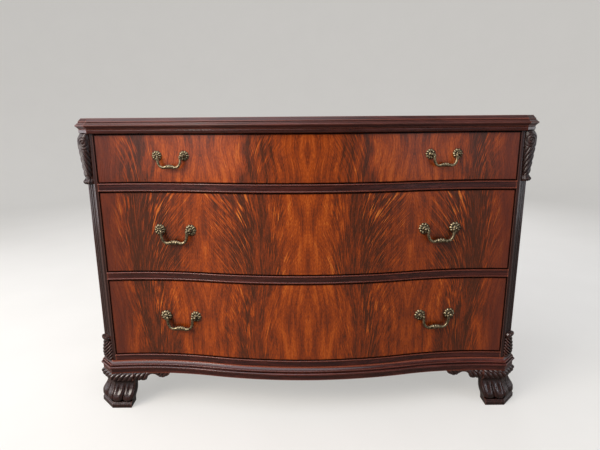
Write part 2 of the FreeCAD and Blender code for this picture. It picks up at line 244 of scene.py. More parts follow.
def new_material(name: str) -> tuple[bpy.types.Material, bpy.types.Node, Callable]:
    """Make an empty node material.

    Args:
        name: the material's name.

    Returns:
        The material, its Principled shader and add_node for its tree.
    """
    material = bpy.data.materials.new(name)
    material.use_nodes = True
    tree = material.node_tree
    return material, tree.nodes["Principled BSDF"], partial(add_node, tree)


@dataclass
class Patch:
    """A grid of points (rows, columns, 3) that becomes one skin of a mesh.

    In a closed skin the columns join into rings, and flat faces close the two end rings.
    The fields are point attributes carried to the mesh, each (rows, columns, 3).
    """

    points: Array
    closed: bool = False
    fields: dict[str, Array] = field(default_factory=dict)

    def faces(self, start: int) -> list[list[int]]:
        """Work out the skin's faces from shifted index arrays.

        Args:
            start: number of its first point in the mesh.

        Returns:
            The point numbers round each face.
        """
        rows, cols = self.points.shape[:2]
        index = start + np.arange(rows * cols).reshape(rows, cols)
        ends = []
        if self.closed:
            ends = [index[0, ::-1].tolist(), index[-1].tolist()]
            index = np.concatenate([index, index[:, :1]], axis=1)
        corners = [index[:-1, :-1], index[1:, :-1], index[1:, 1:], index[:-1, 1:]]
        return np.stack(corners, axis=-1).reshape(-1, 4).tolist() + ends


def build_mesh(name: str, patches: Sequence[Patch], sharp_deg: float) -> bpy.types.Object:
    """Weld patches into one mesh object at the origin, faces outwards.

    Args:
        name: the object's name.
        patches: its skins.
        sharp_deg: edges that turn more than this stay crisp.

    Returns:
        The object.
    """
    points, faces, start = [], [], 0
    for patch in patches:
        flat = patch.points.reshape(-1, 3)
        points.append(flat)
        faces += patch.faces(start)
        start += len(flat)
    mesh = bpy.data.meshes.new(name)
    mesh.from_pydata(np.concatenate(points).tolist(), [], faces)
    for key in patches[0].fields:
        values = np.concatenate([p.fields[key].reshape(-1, 3) for p in patches])
        mesh.attributes.new(key, "FLOAT_VECTOR", "POINT").data.foreach_set("vector", values.ravel())
    work = bmesh.new()
    work.from_mesh(mesh)
    bmesh.ops.remove_doubles(work, verts=work.verts, dist=1e-6)
    bmesh.ops.recalc_face_normals(work, faces=work.faces)
    work.to_mesh(mesh)
    work.free()
    mesh.shade_smooth()
    mesh.set_sharp_from_angle(angle=math.radians(sharp_deg))
    made = bpy.data.objects.new(name, mesh)
    bpy.context.scene.collection.objects.link(made)
    return made


def make_piece(node: str, make: Make, patches: Sequence[Patch], sharp_deg: float,
               material: bpy.types.Material, body: str = "case") -> None:
    """Build a piece in place of a node, dress it and put it on its body.

    Args:
        node: the node that it stands for.
        make: how it is made.
        patches: its skins.
        sharp_deg: edges that turn more than this stay crisp.
        material: its finish.
        body: the body that it rides on.
    """
    word, slot = make.value
    piece = build_mesh(f"{node}_{word}", patches, sharp_deg)
    piece.data.materials.append(material)
    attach(piece, body)
    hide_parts(node)
    LOG.info("%s: %d faces, on %s", piece.name, len(piece.data.polygons), body)


# Plan of the case


@dataclass(frozen=True)
class SerpentinePlan:
    """Plan of the case: a bow between two hollows, canted corners, straight sides."""

    half_width: float = 627 * MM
    back_y: float = 278 * MM
    face_y: float = -260 * MM
    bow: float = 50 * MM
    hollow_x: float = 500 * MM
    inflect_x: float = 285 * MM
    cant: float = 34 * MM
    stations: int = 121

    @property
    def turn(self) -> float:
        """Angle through which the bow turns before it becomes a hollow."""
        return 2.0 * math.atan2(self.bow, self.hollow_x)

    @property
    def bow_r(self) -> float:
        """Radius of the bow."""
        return self.inflect_x / math.sin(self.turn)

    @property
    def hollow_r(self) -> float:
        """Radius of the hollows."""
        return (self.hollow_x - self.inflect_x) / math.sin(self.turn)

    @property
    def hollow_y(self) -> float:
        """Y of the hollows' centres."""
        return self.face_y + self.bow - self.hollow_r

    @property
    def cant_x(self) -> float:
        """X where the canted corner starts."""
        return self.half_width - self.cant

    @property
    def cant_y(self) -> float:
        """Y where the canted corner starts."""
        return float(self.front_y(self.cant_x))

    def front_y(self, x: Array | float, out: Array | float = 0.0) -> Array:
        """Y of the face at x, moved outwards along its normal.

        The bow is a circle of radius bow_r + out about a centre behind the face, the
        hollows are circles of radius hollow_r - out about centres before it.

        Args:
            x: places along the front.
            out: how far outwards.

        Returns:
            Y at those places.
        """
        x, out = np.broadcast_arrays(np.abs(np.asarray(x, float)), np.asarray(out, float))
        bow_r, hollow_r = self.bow_r + out, self.hollow_r - out
        bowed = self.face_y + self.bow_r - np.sqrt(np.maximum(bow_r ** 2 - x ** 2, 0.0))
        hollow = self.hollow_y + np.sqrt(np.maximum(hollow_r ** 2 - (x - self.hollow_x) ** 2, 0.0))
        return np.where(x <= bow_r * math.sin(self.turn), bowed, hollow)

    def corner_x(self, out: Array) -> Array:
        """Find where the moved face meets the moved cant.

        There the line y = x + k, counted from the centre of a hollow, meets the hollow's circle
        of radius r, so x is half of sqrt(2 r^2 - k^2) - k.

        Args:
            out: projection of each profile point.

        Returns:
            X of the meeting places.
        """
        k = self.hollow_x - self.cant_x + self.cant_y - self.hollow_y - out * ROOT_2
        r = self.hollow_r - out
        return self.hollow_x + 0.5 * (np.sqrt(2.0 * r ** 2 - k ** 2) - k)

    def front_run(self, out: Array, end_y: float) -> Array:
        """Front, both cants and the start of both sides, from left to right.

        Args:
            out: projection of each profile point.
            end_y: Y where the run ends on the sides.

        Returns:
            X and Y as (stations, profile points, 2).
        """
        x = np.linspace(-1.0, 1.0, self.stations)[:, None] * self.corner_x(out)
        front = np.stack([x, self.front_y(x, out[None, :])], axis=-1)
        back_y = self.cant_y + self.cant - out * (ROOT_2 - 1.0)
        ends = [np.stack([self.half_width + out, np.broadcast_to(y, out.shape)], axis=-1)
                for y in (back_y, end_y)]
        left = [(end * np.array([-1.0, 1.0]))[None] for end in reversed(ends)]
        return np.concatenate(left + [front] + [end[None] for end in ends])

    def side_run(self, out: Array, start_y: float, side: Side) -> Array:
        """One side, from start_y to the back.

        Args:
            out: projection of each profile point.
            start_y: Y where the run starts.
            side: which side.

        Returns:
            X and Y as (2, profile points, 2).
        """
        x = side.value * (self.half_width + out)
        return np.stack(np.broadcast_arrays(x, np.array([[start_y], [self.back_y]])), axis=-1)

    def cant_point(self, along: Array, proud: Array, z: Array) -> Array:
        """Points by the right-hand cant.

        Args:
            along: distance along the cant from its middle, towards the side.
            proud: distance out of the cant.
            z: height.

        Returns:
            The points, with X, Y and Z on the last axis.
        """
        mid_x, mid_y = self.cant_x + 0.5 * self.cant, self.cant_y + 0.5 * self.cant
        return grid_of(mid_x + (along + proud) / ROOT_2, mid_y + (along - proud) / ROOT_2, z)


PLAN = SerpentinePlan()


def lift(run: Array, heights: Array) -> Array:
    """Give a plan run (stations, profile points, 2) the profile's heights."""
    z = np.broadcast_to(heights[None, :, None], run.shape[:2] + (1,))
    return np.concatenate([run, z], axis=-1)


# Finishes

BLEND = {"out": "Result", "data_type": "RGBA"}
DARKEN = {**BLEND, "blend_type": "MULTIPLY"}


class Grain(Enum):
    """Which way the wood's fibres run; the value turns that axis onto X."""

    ALONG_X = (0.0, 0.0, 0.0)
    ALONG_Y = (0.0, 0.0, -QUARTER_TURN)
    ALONG_Z = (0.0, QUARTER_TURN, 0.0)


@dataclass(frozen=True)
class StraightWood:
    """Straight-grained board under stain and lacquer.

    Stripes run along the fibres, short dark pores lie in them, and the lacquer gives a
    soft sheen whose roughness wavers where it was rubbed. Hollows are darkened as painted
    shade, and their shine is dimmed with it; worn edges show the redder wood, which also
    paints a highlight along them. Both are found by occlusion, outside and inside the solid.
    """

    name: str
    tones: tuple[str, str, str, str]
    grain: Grain
    tone_places: tuple[float, ...] = (0.25, 0.45, 0.6, 0.78)
    stripe: Pair = (9 * MM, 260 * MM)
    pore: Pair = (1.6 * MM, 30 * MM)
    pore_depth: float = 0.35
    pore_mask: Pair = (0.36, 0.5)
    roughness: Pair = (0.24, 0.36)
    roughness_mask: Pair = (0.3, 0.75)
    coat: float = 0.25
    coat_roughness: float = 0.14
    specular: float = 0.5
    # Painted shade in hollows: how dark it goes, how far occlusion looks, and its mask.
    cavity: float = 0.0
    cavity_reach: float = 6 * MM
    cavity_mask: Pair = (0.25, 0.9)
    # Worn, redder edges that also paint a highlight: strength, colour, reach and mask.
    wear_and_highlight: float = 0.0
    wear_and_highlight_tone: str = "944a31"
    wear_and_highlight_reach: float = 4 * MM
    wear_and_highlight_mask: Pair = (0.95, 0.45)
    bump: Pair = (0.04, 0.4 * MM)

    def material(self) -> bpy.types.Material:
        """Build the node material.

        Returns:
            The material.
        """
        material, shader, add = new_material(self.name)
        place = add("TexCoord", out="Object")
        turned = add("Mapping", {"Vector": place, "Rotation": self.grain.value})
        along_stripes, along_pores = (
            add("Mapping", {"Vector": turned, "Scale": (1.0 / long, 1.0 / wide, 1.0 / wide)})
            for wide, long in (self.stripe, self.pore))
        stripes = add("TexNoise", {"Vector": along_stripes, "Scale": 1.0, "Detail": 5.0,
                                   "Roughness": 0.62, "Distortion": 0.35})
        pores = add("TexNoise", {"Vector": along_pores, "Scale": 1.0, "Detail": 2.0, "Roughness": 0.5})
        colour = add("ValToRGB", [stripes], stops=zip(self.tone_places, self.tones))
        dark = add("MapRange", [pores, *self.pore_mask, 1.0 - self.pore_depth])
        colour = add("Mix", {0: 1.0, "A": colour, "B": dark}, **DARKEN)
        # Painted shade: hollows found by occlusion are darkened, and their shine is dimmed with them.
        if self.cavity:
            open_share = add("AmbientOcclusion", {"Distance": self.cavity_reach}, "AO", samples=8)
            shade = add("MapRange", [open_share, *self.cavity_mask, 1.0 - self.cavity])
            colour = add("Mix", {0: 1.0, "A": colour, "B": shade}, **DARKEN)
            shine = add("Math", [shade, self.specular], operation="MULTIPLY")
            fill(shader, {"Specular IOR Level": shine})
        # Convex edges, found by occlusion inside the solid, take the redder colour: worn wood, and a painted
        # highlight along the crests.
        if self.wear_and_highlight:
            solid_share = add("AmbientOcclusion", {"Distance": self.wear_and_highlight_reach}, "AO", samples=8, inside=True)
            worn = add("MapRange", [solid_share, *self.wear_and_highlight_mask, 0.0, self.wear_and_highlight])
            colour = add("Mix", {0: worn, "A": colour, "B": linear(self.wear_and_highlight_tone)}, **BLEND)
        strength, height = self.bump
        fill(shader, {
            "Base Color": colour,
            "Roughness": add("MapRange", [stripes, *self.roughness_mask, *self.roughness]),
            "Normal": add("Bump", {"Strength": strength, "Distance": height, "Height": pores}),
            "Coat Weight": self.coat,
            "Coat Roughness": self.coat_roughness})
        return material


@dataclass(frozen=True)
class Streak:
    """Noise drawn out along the fibres of one attribute, then spread to a swing of light.

    The noise values of the mask give the two ends of the swing. Two seeds lie seed_step
    apart in the noise.
    """

    key: str
    width: float
    long: float
    mask: Pair
    swing: Pair
    seed_step: float = 7.3

    def light(self, add: Callable) -> bpy.types.NodeSocket:
        """Add the streak's nodes.

        Args:
            add: add_node for the material's tree.

        Returns:
            The socket of the added light.
        """
        place = add("Attribute", out="Vector", attribute_name=self.key)
        spot = add("Mapping", {"Vector": place, "Scale": (1.0 / self.width, 1.0 / self.long, self.seed_step)})
        noise = add("TexNoise", {"Vector": spot, "Scale": 1.0, "Detail": 1.0, "Roughness": 0.5})
        return add("MapRange", [noise, *self.mask, *self.swing])


@dataclass(frozen=True)
class FlameVeneer:
    """Crotch mahogany veneer, book-matched, under a rubbed gloss lacquer.

    Brown plumes stand in each leaf of orange wood; fine bright needles fan up and out of
    them, and soft upright smears, dark veins and short flecks lie in the light wood. Real
    needles are under a millimetre wide: they are drawn two to four times as coarse, so that
    they show. The piece carries four point attributes: barb (across the needles, along them,
    seed), grain (across, along, seed), tone (light of the wood, share of needles, share of
    end stain, which also paints a haze of reflection) and rim (nearness of the drawer's edge,
    where shade is painted along the gaps). Occlusion paints more shade in the gaps and a
    shadow round the pulls, and dims the shine there.
    """

    name: str = "crotch mahogany veneer, lacquered"
    tones: tuple[str, ...] = ("4a220e", "602a11", "7c3210", "953e10", "b44f14", "e28636")
    tone_places: tuple[float, ...] = (0.0, 0.18, 0.38, 0.58, 0.8, 1.0)
    # Colour of the end stain, which also paints a haze of reflection on the drawer ends.
    stain: str = "5a271b"
    dark_hair: Streak = Streak("barb", 2.3 * MM, 40 * MM, (0.28, 0.46), (-0.22, 0.0))
    smear: Streak = Streak("grain", 19 * MM, 110 * MM, (0.25, 0.75), (-0.26, 0.26))
    vein: Streak = Streak("grain", 8.5 * MM, 240 * MM, (0.3, 0.46), (-0.2, 0.0))
    fleck: Streak = Streak("grain", 2.6 * MM, 8 * MM, (0.25, 0.75), (-0.2, 0.16))
    line: Streak = Streak("grain", 2.6 * MM, 60 * MM, (0.25, 0.75), (-0.12, 0.12))
    needle: Streak = Streak("barb", 3.5 * MM, 60 * MM, (0.55, 0.68), (0.0, 0.75))
    bright_hair: Streak = Streak("barb", 2.3 * MM, 40 * MM, (0.56, 0.7), (0.0, 0.75))
    ground_most: float = 0.82
    needle_level: float = 1.02
    # Painted shade by occlusion: in the gaps round the drawer, and as a shadow round the pulls.
    painted_shade_reach: float = 16 * MM
    painted_shade_mask: Pair = (0.3, 0.93)
    painted_shade_least: float = 0.1
    rim_shade_least: float = 0.08
    specular: float = 0.5
    roughness: Pair = (0.26, 0.36)
    roughness_mask: Pair = (-0.1, 0.1)
    coat: float = 0.2
    coat_roughness: float = 0.1

    def material(self) -> bpy.types.Material:
        """Build the node material: light from tone and streaks, then a ramp of wood tones.

        Returns:
            The material.
        """
        material, shader, add = new_material(self.name)
        tone = add("Attribute", out="Vector", attribute_name="tone")
        level, needles, ends = add("SeparateXYZ", [tone]).node.outputs
        line = self.line.light(add)
        waves = [(self.dark_hair.light(add), needles)]
        waves += [(streak.light(add), 1.0) for streak in (self.smear, self.vein, self.fleck)]
        for wave, weight in waves + [(line, 1.0)]:
            level = add("Math", [wave, weight, level], operation="MULTIPLY_ADD")
        level = add("Math", [level, self.ground_most], operation="MINIMUM")
        for streak in (self.needle, self.bright_hair):
            share = add("Math", [streak.light(add), needles], operation="MULTIPLY")
            level = add("Mix", {0: share, "A": level, "B": self.needle_level})
        wood = add("ValToRGB", [level], stops=zip(self.tone_places, self.tones))
        # End stain, which also paints a haze of reflection at the ends.
        wood = add("Mix", {0: ends, "A": wood, "B": linear(self.stain)}, **BLEND)
        # Painted shade and shadow: occlusion darkens the wood in the gaps and round the pulls, and dims its
        # shine.
        open_share = add("AmbientOcclusion", {"Distance": self.painted_shade_reach}, "AO", samples=8)
        shade = add("MapRange", [open_share, *self.painted_shade_mask, self.painted_shade_least])
        # Painted shade along the gaps: the veneer darkens, and loses its shine, near its edges.
        rim = add("Attribute", out="Fac", attribute_name="rim")
        rim_shade = add("MapRange", [rim, 0.0, 1.0, 1.0, self.rim_shade_least])
        shade = add("Math", [shade, rim_shade], operation="MULTIPLY")
        fill(shader, {
            "Base Color": add("Mix", {0: 1.0, "A": wood, "B": shade}, **DARKEN),
            "Specular IOR Level": add("Math", [shade, self.specular], operation="MULTIPLY"),
            "Roughness": add("MapRange", [line, *self.roughness_mask, *self.roughness]),
            "Coat Weight": self.coat,
            "Coat Roughness": self.coat_roughness})
        return material


@dataclass(frozen=True)
class AntiqueBrass:
    """Cast brass, chemically darkened and rubbed bright on its high places.

    The mottled patina breaks the shine into soft patches, and the cuts stay almost black:
    patina, and also painted shade, found by occlusion. On zinc-plated steel the dark cuts are
    painted shade alone.
    """

    name: str = "cast brass, antiqued"
    bright: str = "aa9a7a"
    dull: str = "4c4232"
    dark: str = "120d08"
    mottle: float = 5 * MM
    mottle_mask: Pair = (0.35, 0.65)
    cavity_reach: float = 5 * MM
    cavity_mask: Pair = (0.5, 0.95)
    roughness: Pair = (0.28, 0.46)
    roughness_mask: Pair = (0.3, 0.7)
    bump: Pair = (0.15, 0.2 * MM)

    def material(self) -> bpy.types.Material:
        """Build the node material.

        Returns:
            The material.
        """
        material, shader, add = new_material(self.name)
        cloud = add("TexNoise", {"Vector": add("TexCoord", out="Object"), "Scale": 1.0 / self.mottle,
                                 "Detail": 4.0, "Roughness": 0.6})
        metal = add("ValToRGB", [cloud], stops=zip(self.mottle_mask, (self.dull, self.bright)))
        # Patina and painted shade in the cuts, found by occlusion.
        open_share = add("AmbientOcclusion", {"Distance": self.cavity_reach}, "AO", samples=8)
        rubbed = add("MapRange", [open_share, *self.cavity_mask])
        strength, height = self.bump
        fill(shader, {
            "Base Color": add("Mix", {0: rubbed, "A": linear(self.dark), "B": metal}, **BLEND),
            "Roughness": add("MapRange", [cloud, *self.roughness_mask, *self.roughness]),
            "Normal": add("Bump", {"Strength": strength, "Distance": height, "Height": cloud}),
            "Metallic": 1.0})
        return material


MAHOGANY_TONES = ("240c09", "3b1711", "50211a", "632c22")
CARVED_TONES = ("180b09", "27130f", "361b16", "47261d")
OAK_TONES = ("8a6a45", "a17f55", "b08d62", "bd9b70")
PLY_TONES = ("8f7550", "a08660", "ab926c", "b69d78")


class FinishSet:
    """Every finish of the chest, made once."""

    def __init__(self) -> None:
        """Build the materials."""
        # Red-brown wood under an even satin film; the stain is rubbed through on the edges, which
        # also paints a highlight there, and the hollows are darkened as painted shade.
        self.case = {
            grain: StraightWood(f"mahogany, stained and lacquered, {grain.name.lower()}", MAHOGANY_TONES,
                                grain, cavity=0.93, wear_and_highlight=0.7, roughness=(0.22, 0.32)).material()
            for grain in Grain
        }
        # The same wood where hands and cloths have dulled the film: broad, hazy highlights.
        self.top = StraightWood("mahogany, stained, lacquer worn dull", MAHOGANY_TONES, Grain.ALONG_X,
                                cavity=0.93, wear_and_highlight=0.8, roughness=(0.42, 0.54), coat=0.05).material()
        # Nearly black in the cuts, where shade is painted in by occlusion; small lights along the
        # ridges of the carving come from the coat's shine and from worn, redder edges that also
        # paint a highlight.
        dark = {"tones": CARVED_TONES, "grain": Grain.ALONG_Z, "stripe": (5 * MM, 260 * MM),
                "cavity": 0.93, "cavity_reach": 8 * MM, "wear_and_highlight_tone": "7a4a3c"}
        self.carved = StraightWood("carved mahogany, dark stained", roughness=(0.23, 0.33), coat=0.35,
                                   wear_and_highlight=0.6, **dark).material()
        self.scroll = StraightWood("carved mahogany, dark stained, rubbed dull", roughness=(0.36, 0.48),
                                   coat=0.1, wear_and_highlight=0.25, **dark).material()
        self.veneer = FlameVeneer().material()
        self.brass = AntiqueBrass().material()
        # Pale open-grained wood with hardly any shine.
        self.oak = {
            grain: StraightWood(f"oak, planed and sealed, {grain.name.lower()}", OAK_TONES, grain,
                                stripe=(6 * MM, 260 * MM), pore_depth=0.25, roughness=(0.45, 0.6),
                                coat=0.0).material()
            for grain in (Grain.ALONG_X, Grain.ALONG_Y)
        }
        # Broad, faint stripes of a peeled log, dull all over.
        self.plywood = StraightWood("birch plywood, sanded", PLY_TONES, Grain.ALONG_X, coat=0.0,
                                    stripe=(22 * MM, 400 * MM), pore_depth=0.1,
                                    roughness=(0.55, 0.7)).material()
        # A grey, cloudy shine; the cuts are darkened as painted shade.
        self.zinc = AntiqueBrass("steel, zinc plated", "a9a8a4", "7f7e7a", "3a3936").material()


# Case


@dataclass
class MouldedTop:
    """Top panel, whose (height, projection) edge runs round the plan: front, cants, sides.

    The edge, from below: a cove, a nosing, a narrow groove and a slope, in millimetres.
    """

    finishes: FinishSet
    cove: Sequence[Pair] = ((838, 9.0), (840, 9.6), (842, 11.2), (843.8, 13.4))
    nosing: Triple = (848, 13.4, 3.4)
    groove: Sequence[Pair] = ((852.0, 12.2), (854.6, 11.4), (855.4, 9.2), (857.2, 7.6))
    slope: Sequence[Pair] = ((858.0, 9.0), (861, 6.8), (864, 4.2), (868, 1.0))
    sharp_deg: float = 24.0

    def build(self) -> None:
        """Build the top: the edge carried round the plan and closed with flat faces."""
        edge = curve(list(self.cove)) + bead(*self.nosing) + list(self.groove) + curve(list(self.slope))
        z, out = np.array(edge).T * MM
        grid = lift(PLAN.front_run(out, PLAN.back_y), z).swapaxes(0, 1)
        make_piece("top_panel", Make.SMOOTH, [Patch(grid, closed=True)], self.sharp_deg, self.finishes.top)


@dataclass
class Moulding:
    """A strip with a carried profile: one piece along the front, one on each side.

    The profile is (height, projection) from the bottom up, in millimetres.
    """

    finishes: FinishSet
    name: str
    profile: Profile
    sharp_deg: float = 28.0

    def build(self) -> None:
        """Build the three strips: the profile, closed along the case, carried along the plan."""
        heights, outs = zip(*self.profile)
        z = np.array([heights[0], *heights, heights[-1]]) * MM
        out = np.array([0.0, *outs, 0.0]) * MM
        joint_y = PLAN.cant_y + PLAN.cant
        runs = {"front": (PLAN.front_run(out, joint_y), Grain.ALONG_X)}
        for side in Side:
            runs[side.word] = (PLAN.side_run(out, joint_y, side), Grain.ALONG_Y)
        for word, (run, grain) in runs.items():
            make_piece(f"{self.name}_{word}", Make.SMOOTH, [Patch(lift(run, z), closed=True)], self.sharp_deg,
                       self.finishes.case[grain])


@dataclass
class Rail:
    """A rail between drawers: beads along its edges, carried along the serpentine face.

    Heights are millimetres. Start holds the first points of a profile that isn't flush.
    """

    finishes: FinishSet
    name: str
    low: float
    high: float
    beads: Sequence[float]
    start: Sequence[Pair] = ()
    bead_r: float = 2.3
    touching: float = 0.01
    half: float = 585 * MM
    back_y: float = -150 * MM
    stations: int = 121
    sharp_deg: float = 40.0

    def profile(self) -> Profile:
        """Put the beads on the rail's face.

        Returns:
            (height, projection) from the bottom up, millimetres.
        """
        shape = list(self.start) or [(self.low, 0.0)]
        for z in self.beads:
            apart = shape[-1][0] < z - self.bead_r - self.touching
            shape += bead(z, 0.0, self.bead_r)[0 if apart else 1:]
        if shape[-1][0] < self.high - self.touching:
            shape.append((self.high, 0.0))
        return shape

    def build(self) -> None:
        """Build the rail: profile along the face, closed behind by a flat back."""
        z, out = np.array(self.profile()).T * MM
        x = np.linspace(-self.half, self.half, self.stations)[:, None]
        front = grid_of(x, PLAN.front_y(x, out[None, :]), z)
        back = grid_of(x, self.back_y, z[[-1, 0]])
        skin = Patch(np.concatenate([front, back], axis=1), closed=True)
        make_piece(self.name, Make.SMOOTH, [skin], self.sharp_deg, self.finishes.case[Grain.ALONG_X])


# Drawers


@dataclass(frozen=True)
class Wave:
    """A sine wave up a drawer front: its size, and its radians from bottom to top."""

    size: float
    turns: float

    def at(self, up: Array, phase: Array | float) -> Array:
        """Value at a share of the height."""
        return self.size * np.sin(self.turns * up + phase)


class Fan(Enum):
    """Where a leaf's long needles point, with the sign of the distance there."""

    TO_SEAM = 1
    FROM_SEAM = -1


@dataclass(frozen=True)
class LeafFigure:
    """Figure of one drawer's four veneer leaves.

    Args:
        inner: place of the plume in the two inner leaves, as a share of a leaf's width
            from the drawer's middle.
        outer: the same in the outer leaves, from the drawer's ends.
        way: where the long needles point.
        dark: width of the dark plume on the long side, metres.
        reach: how far the long needles go.
        short: how far the short needles on the other side go.
        lean: greatest lean of the needles, degrees.
        depth: how brown the plume is, 0 to 1.
        seed: shifts the noise, so that no two drawers match.
    """

    inner: float
    outer: float
    way: Fan
    dark: float
    reach: float
    short: float
    lean: float
    depth: float
    seed: float


@dataclass
class VeneeredFace:
    """The veneer of one drawer front: four book-matched leaves on the serpentine face.

    Folding x at the middle and the quarter seams lays the four leaves onto one. There t is
    the distance from the plume's axis, above zero on the side of the long needles. Pairs
    named rise and fall are shares of the figure's dark, reach or short widths.
    """

    finishes: FinishSet
    tier: Tier
    low: float
    high: float
    figure: LeafFigure
    half: float = 582.5 * MM
    thick: float = 1 * MM
    # Width of the painted shade along the veneer's edges.
    rim: float = 3.2 * MM
    columns: int = 321
    row_step: float = 4 * MM
    least_rows: int = 33
    sharp_deg: float = 40.0
    sway: Wave = Wave(0.03, 2.6)
    wander: Wave = Wave(15 * MM, 3.7)
    ripple: Wave = Wave(6 * MM, 8.3)
    scallop: Wave = Wave(9 * MM, 9.0)
    scallop_level: float = 0.6
    drift: Wave = Wave(0.006, 5.0)
    grain_lean: float = 0.02
    barb_slip: float = 0.3
    side_seed: float = 0.31
    leaf_seed: float = 0.05
    lean_least: float = 5.0
    lean_full: float = 120 * MM
    lean_fall: Pair = (140 * MM, 250 * MM)
    lean_lost: float = 0.35
    farthest: float = 0.6
    outer_reach: float = 0.85
    outer_depth: float = 1.3
    core: Pair = (0.08, 0.32)
    core_fall: Pair = (0.25, 0.7)
    far: Pair = (0.55, 0.4)
    far_rise: float = 0.5
    far_fall: Pair = (0.6, 1.2)
    near: float = 0.5
    near_rise: float = 0.3
    near_fall: Pair = (0.4, 0.95)
    least_depth: float = 0.1
    light_from: float = 0.3
    short_light: float = 0.7
    ground: float = 0.56
    plume_dark: float = 0.44
    side_brown: float = 0.22
    side_brown_rise: Pair = (0.34, 0.5)
    glow: Cut = Cut(0.09, 0.9)
    glow_place: float = 1.3
    end_stain_and_haze: float = 0.78
    end_width: Pair = (95 * MM, 10 * MM)

    def across_needles(self, away: Array, up: Array) -> Array:
        """Place across the needles.

        Needles start upright at the plume and lean away from it: along one of them
        T(away) - z is the same, with T the integral of 1 / tan(lean). The place across them
        is the distance from the plume where the needle's line passes the middle height.

        Args:
            away: distances from the plume's axis.
            up: shares of the height.

        Returns:
            The places, in metres.
        """
        knots = np.linspace(0.0, self.farthest, 601)
        rise = smooth(0.0, self.lean_full, knots) * (1.0 - self.lean_lost * smooth(*self.lean_fall, knots))
        slope = np.tan(np.radians(self.lean_least + (self.figure.lean - self.lean_least) * rise))
        steps = 0.5 * (1.0 / slope[1:] + 1.0 / slope[:-1]) * np.diff(knots)
        climb = np.concatenate([[0.0], np.cumsum(steps)])
        start = np.interp(away, knots, climb) - (up - 0.5) * (self.high - self.low)
        return np.where(start > 0.0, np.interp(start, climb, knots), start * slope[0])

    def needles(self, t: Array, up: Array, reach: Array) -> Array:
        """Share of needles: some in the plume's core, more beside it, most high on the long side.

        Args:
            t: distances from the plume's axis.
            up: shares of the height.
            reach: how far the long needles go.

        Returns:
            The shares.
        """
        look = self.figure
        far = band((0.0, self.far_rise * look.dark), [share * reach for share in self.far_fall], t)
        near = band((0.0, self.near_rise), self.near_fall, -t / look.short)
        core = 1.0 - smooth(*self.core_fall, np.abs(t) / reach)
        beside = np.where(t > 0, (self.far[0] + self.far[1] * up) * far, self.near * near)
        return (self.core[0] + self.core[1] * core + beside) * (self.least_depth + look.depth)

    def fields(self, x: Array, z: Array) -> dict[str, Array]:
        """Figure coordinates at points of the face.

        Args:
            x: places across the face.
            z: heights.

        Returns:
            The barb, grain, tone and rim attributes.
        """
        look = self.figure
        wide = 0.5 * self.half
        leaf = np.floor((x + self.half) / wide).clip(0, 3)
        outer = (leaf == 0) | (leaf == 3)
        fold = wide - np.abs(np.abs(x) - wide)
        up = (z - self.low) / (self.high - self.low)
        axis = np.where(outer, look.outer, look.inner) + self.sway.at(up, look.seed)
        t = look.way.value * (fold - axis * wide)
        away = np.abs(t)
        seed = look.seed + self.side_seed * np.sign(t) + self.leaf_seed * leaf
        barb = np.stack([self.across_needles(away, up), z + self.barb_slip * away, seed], axis=-1)
        drift = self.grain_lean * (up - 0.5) * math.sin(1.3 * look.seed) + self.drift.at(up, look.seed)
        grain = np.stack([fold + drift, z, np.full_like(x, look.seed)], axis=-1)
        # The plume's edge: waves on the long side, half of them and scallops on the short one.
        waves = self.wander.at(up, 2.1 * look.seed + 1.1 * outer) + self.ripple.at(up, look.seed)
        notches = np.abs(self.scallop.at(up, look.seed + 0.4 * leaf)) - self.scallop_level * self.scallop.size
        edge = t + np.where(t > 0, waves, 0.5 * waves + notches)
        reach = look.reach * np.where(outer, self.outer_reach, 1.0)
        light = np.where(edge > 0, smooth(self.light_from * look.dark, reach, edge),
                         smooth(0.0, self.short_light * look.short, -edge))
        brown = look.depth * np.where(outer, self.outer_depth, 1.0) * (1.0 - light)
        brown = brown + self.side_brown * smooth(*self.side_brown_rise, np.abs(x))
        glow = self.glow.at(t / look.short + self.glow_place)
        # Stain darkens both ends of the drawer; it also paints there a duller haze of reflection.
        stain_from, stain_to = (self.half - width for width in self.end_width)
        ends = self.end_stain_and_haze * smooth(stain_from, stain_to, np.abs(x))
        level = self.ground - self.plume_dark * brown + glow
        tone = np.stack([level, self.needles(t, up, reach), ends], axis=-1)
        # Painted shade along the gaps: rim is one at the veneer's edges and falls to none a rim's width in.
        margin = np.minimum(np.minimum(z - self.low, self.high - z), self.half - np.abs(x))
        rim = np.repeat(smooth(self.rim, 0.3 * self.rim, margin)[..., None], 3, axis=-1)
        return {"barb": barb, "grain": grain, "tone": tone, "rim": rim}

    def build(self) -> None:
        """Build the face grid, its turned edges and its back as one thin sheet."""
        steps = self.rim * np.linspace(0.25, 1.0, 4)
        rows = max(self.least_rows, int((self.high - self.low) / self.row_step))
        x = np.linspace(-self.half, self.half, self.columns)
        x = np.sort(np.concatenate([x, steps - self.half, self.half - steps]))
        z = np.linspace(self.low, self.high, rows)
        z = np.sort(np.concatenate([z, self.low + steps, self.high - steps]))
        grid_x, grid_z = np.meshgrid(x, z)
        figure = self.fields(grid_x, grid_z)
        front, back = skins = [
            Patch(grid_of(grid_x, PLAN.front_y(grid_x, out), grid_z), fields=figure)
            for out in (0.0, -self.thick)
        ]
        every = slice(None)
        ends = (slice(0, 1), slice(-1, None))
        for axis, pick in [(0, (end, every)) for end in ends] + [(1, (every, end)) for end in ends]:
            edge = np.concatenate([front.points[pick], back.points[pick]], axis=axis)
            carried = {key: np.concatenate([figure[key][pick]] * 2, axis=axis) for key in figure}
            skins.append(Patch(edge, fields=carried))
        drawer = f"{self.tier.value}_drawer"
        make_piece(f"{drawer}_veneer", Make.LEAVES, skins, self.sharp_deg, self.finishes.veneer, drawer)


# Carving


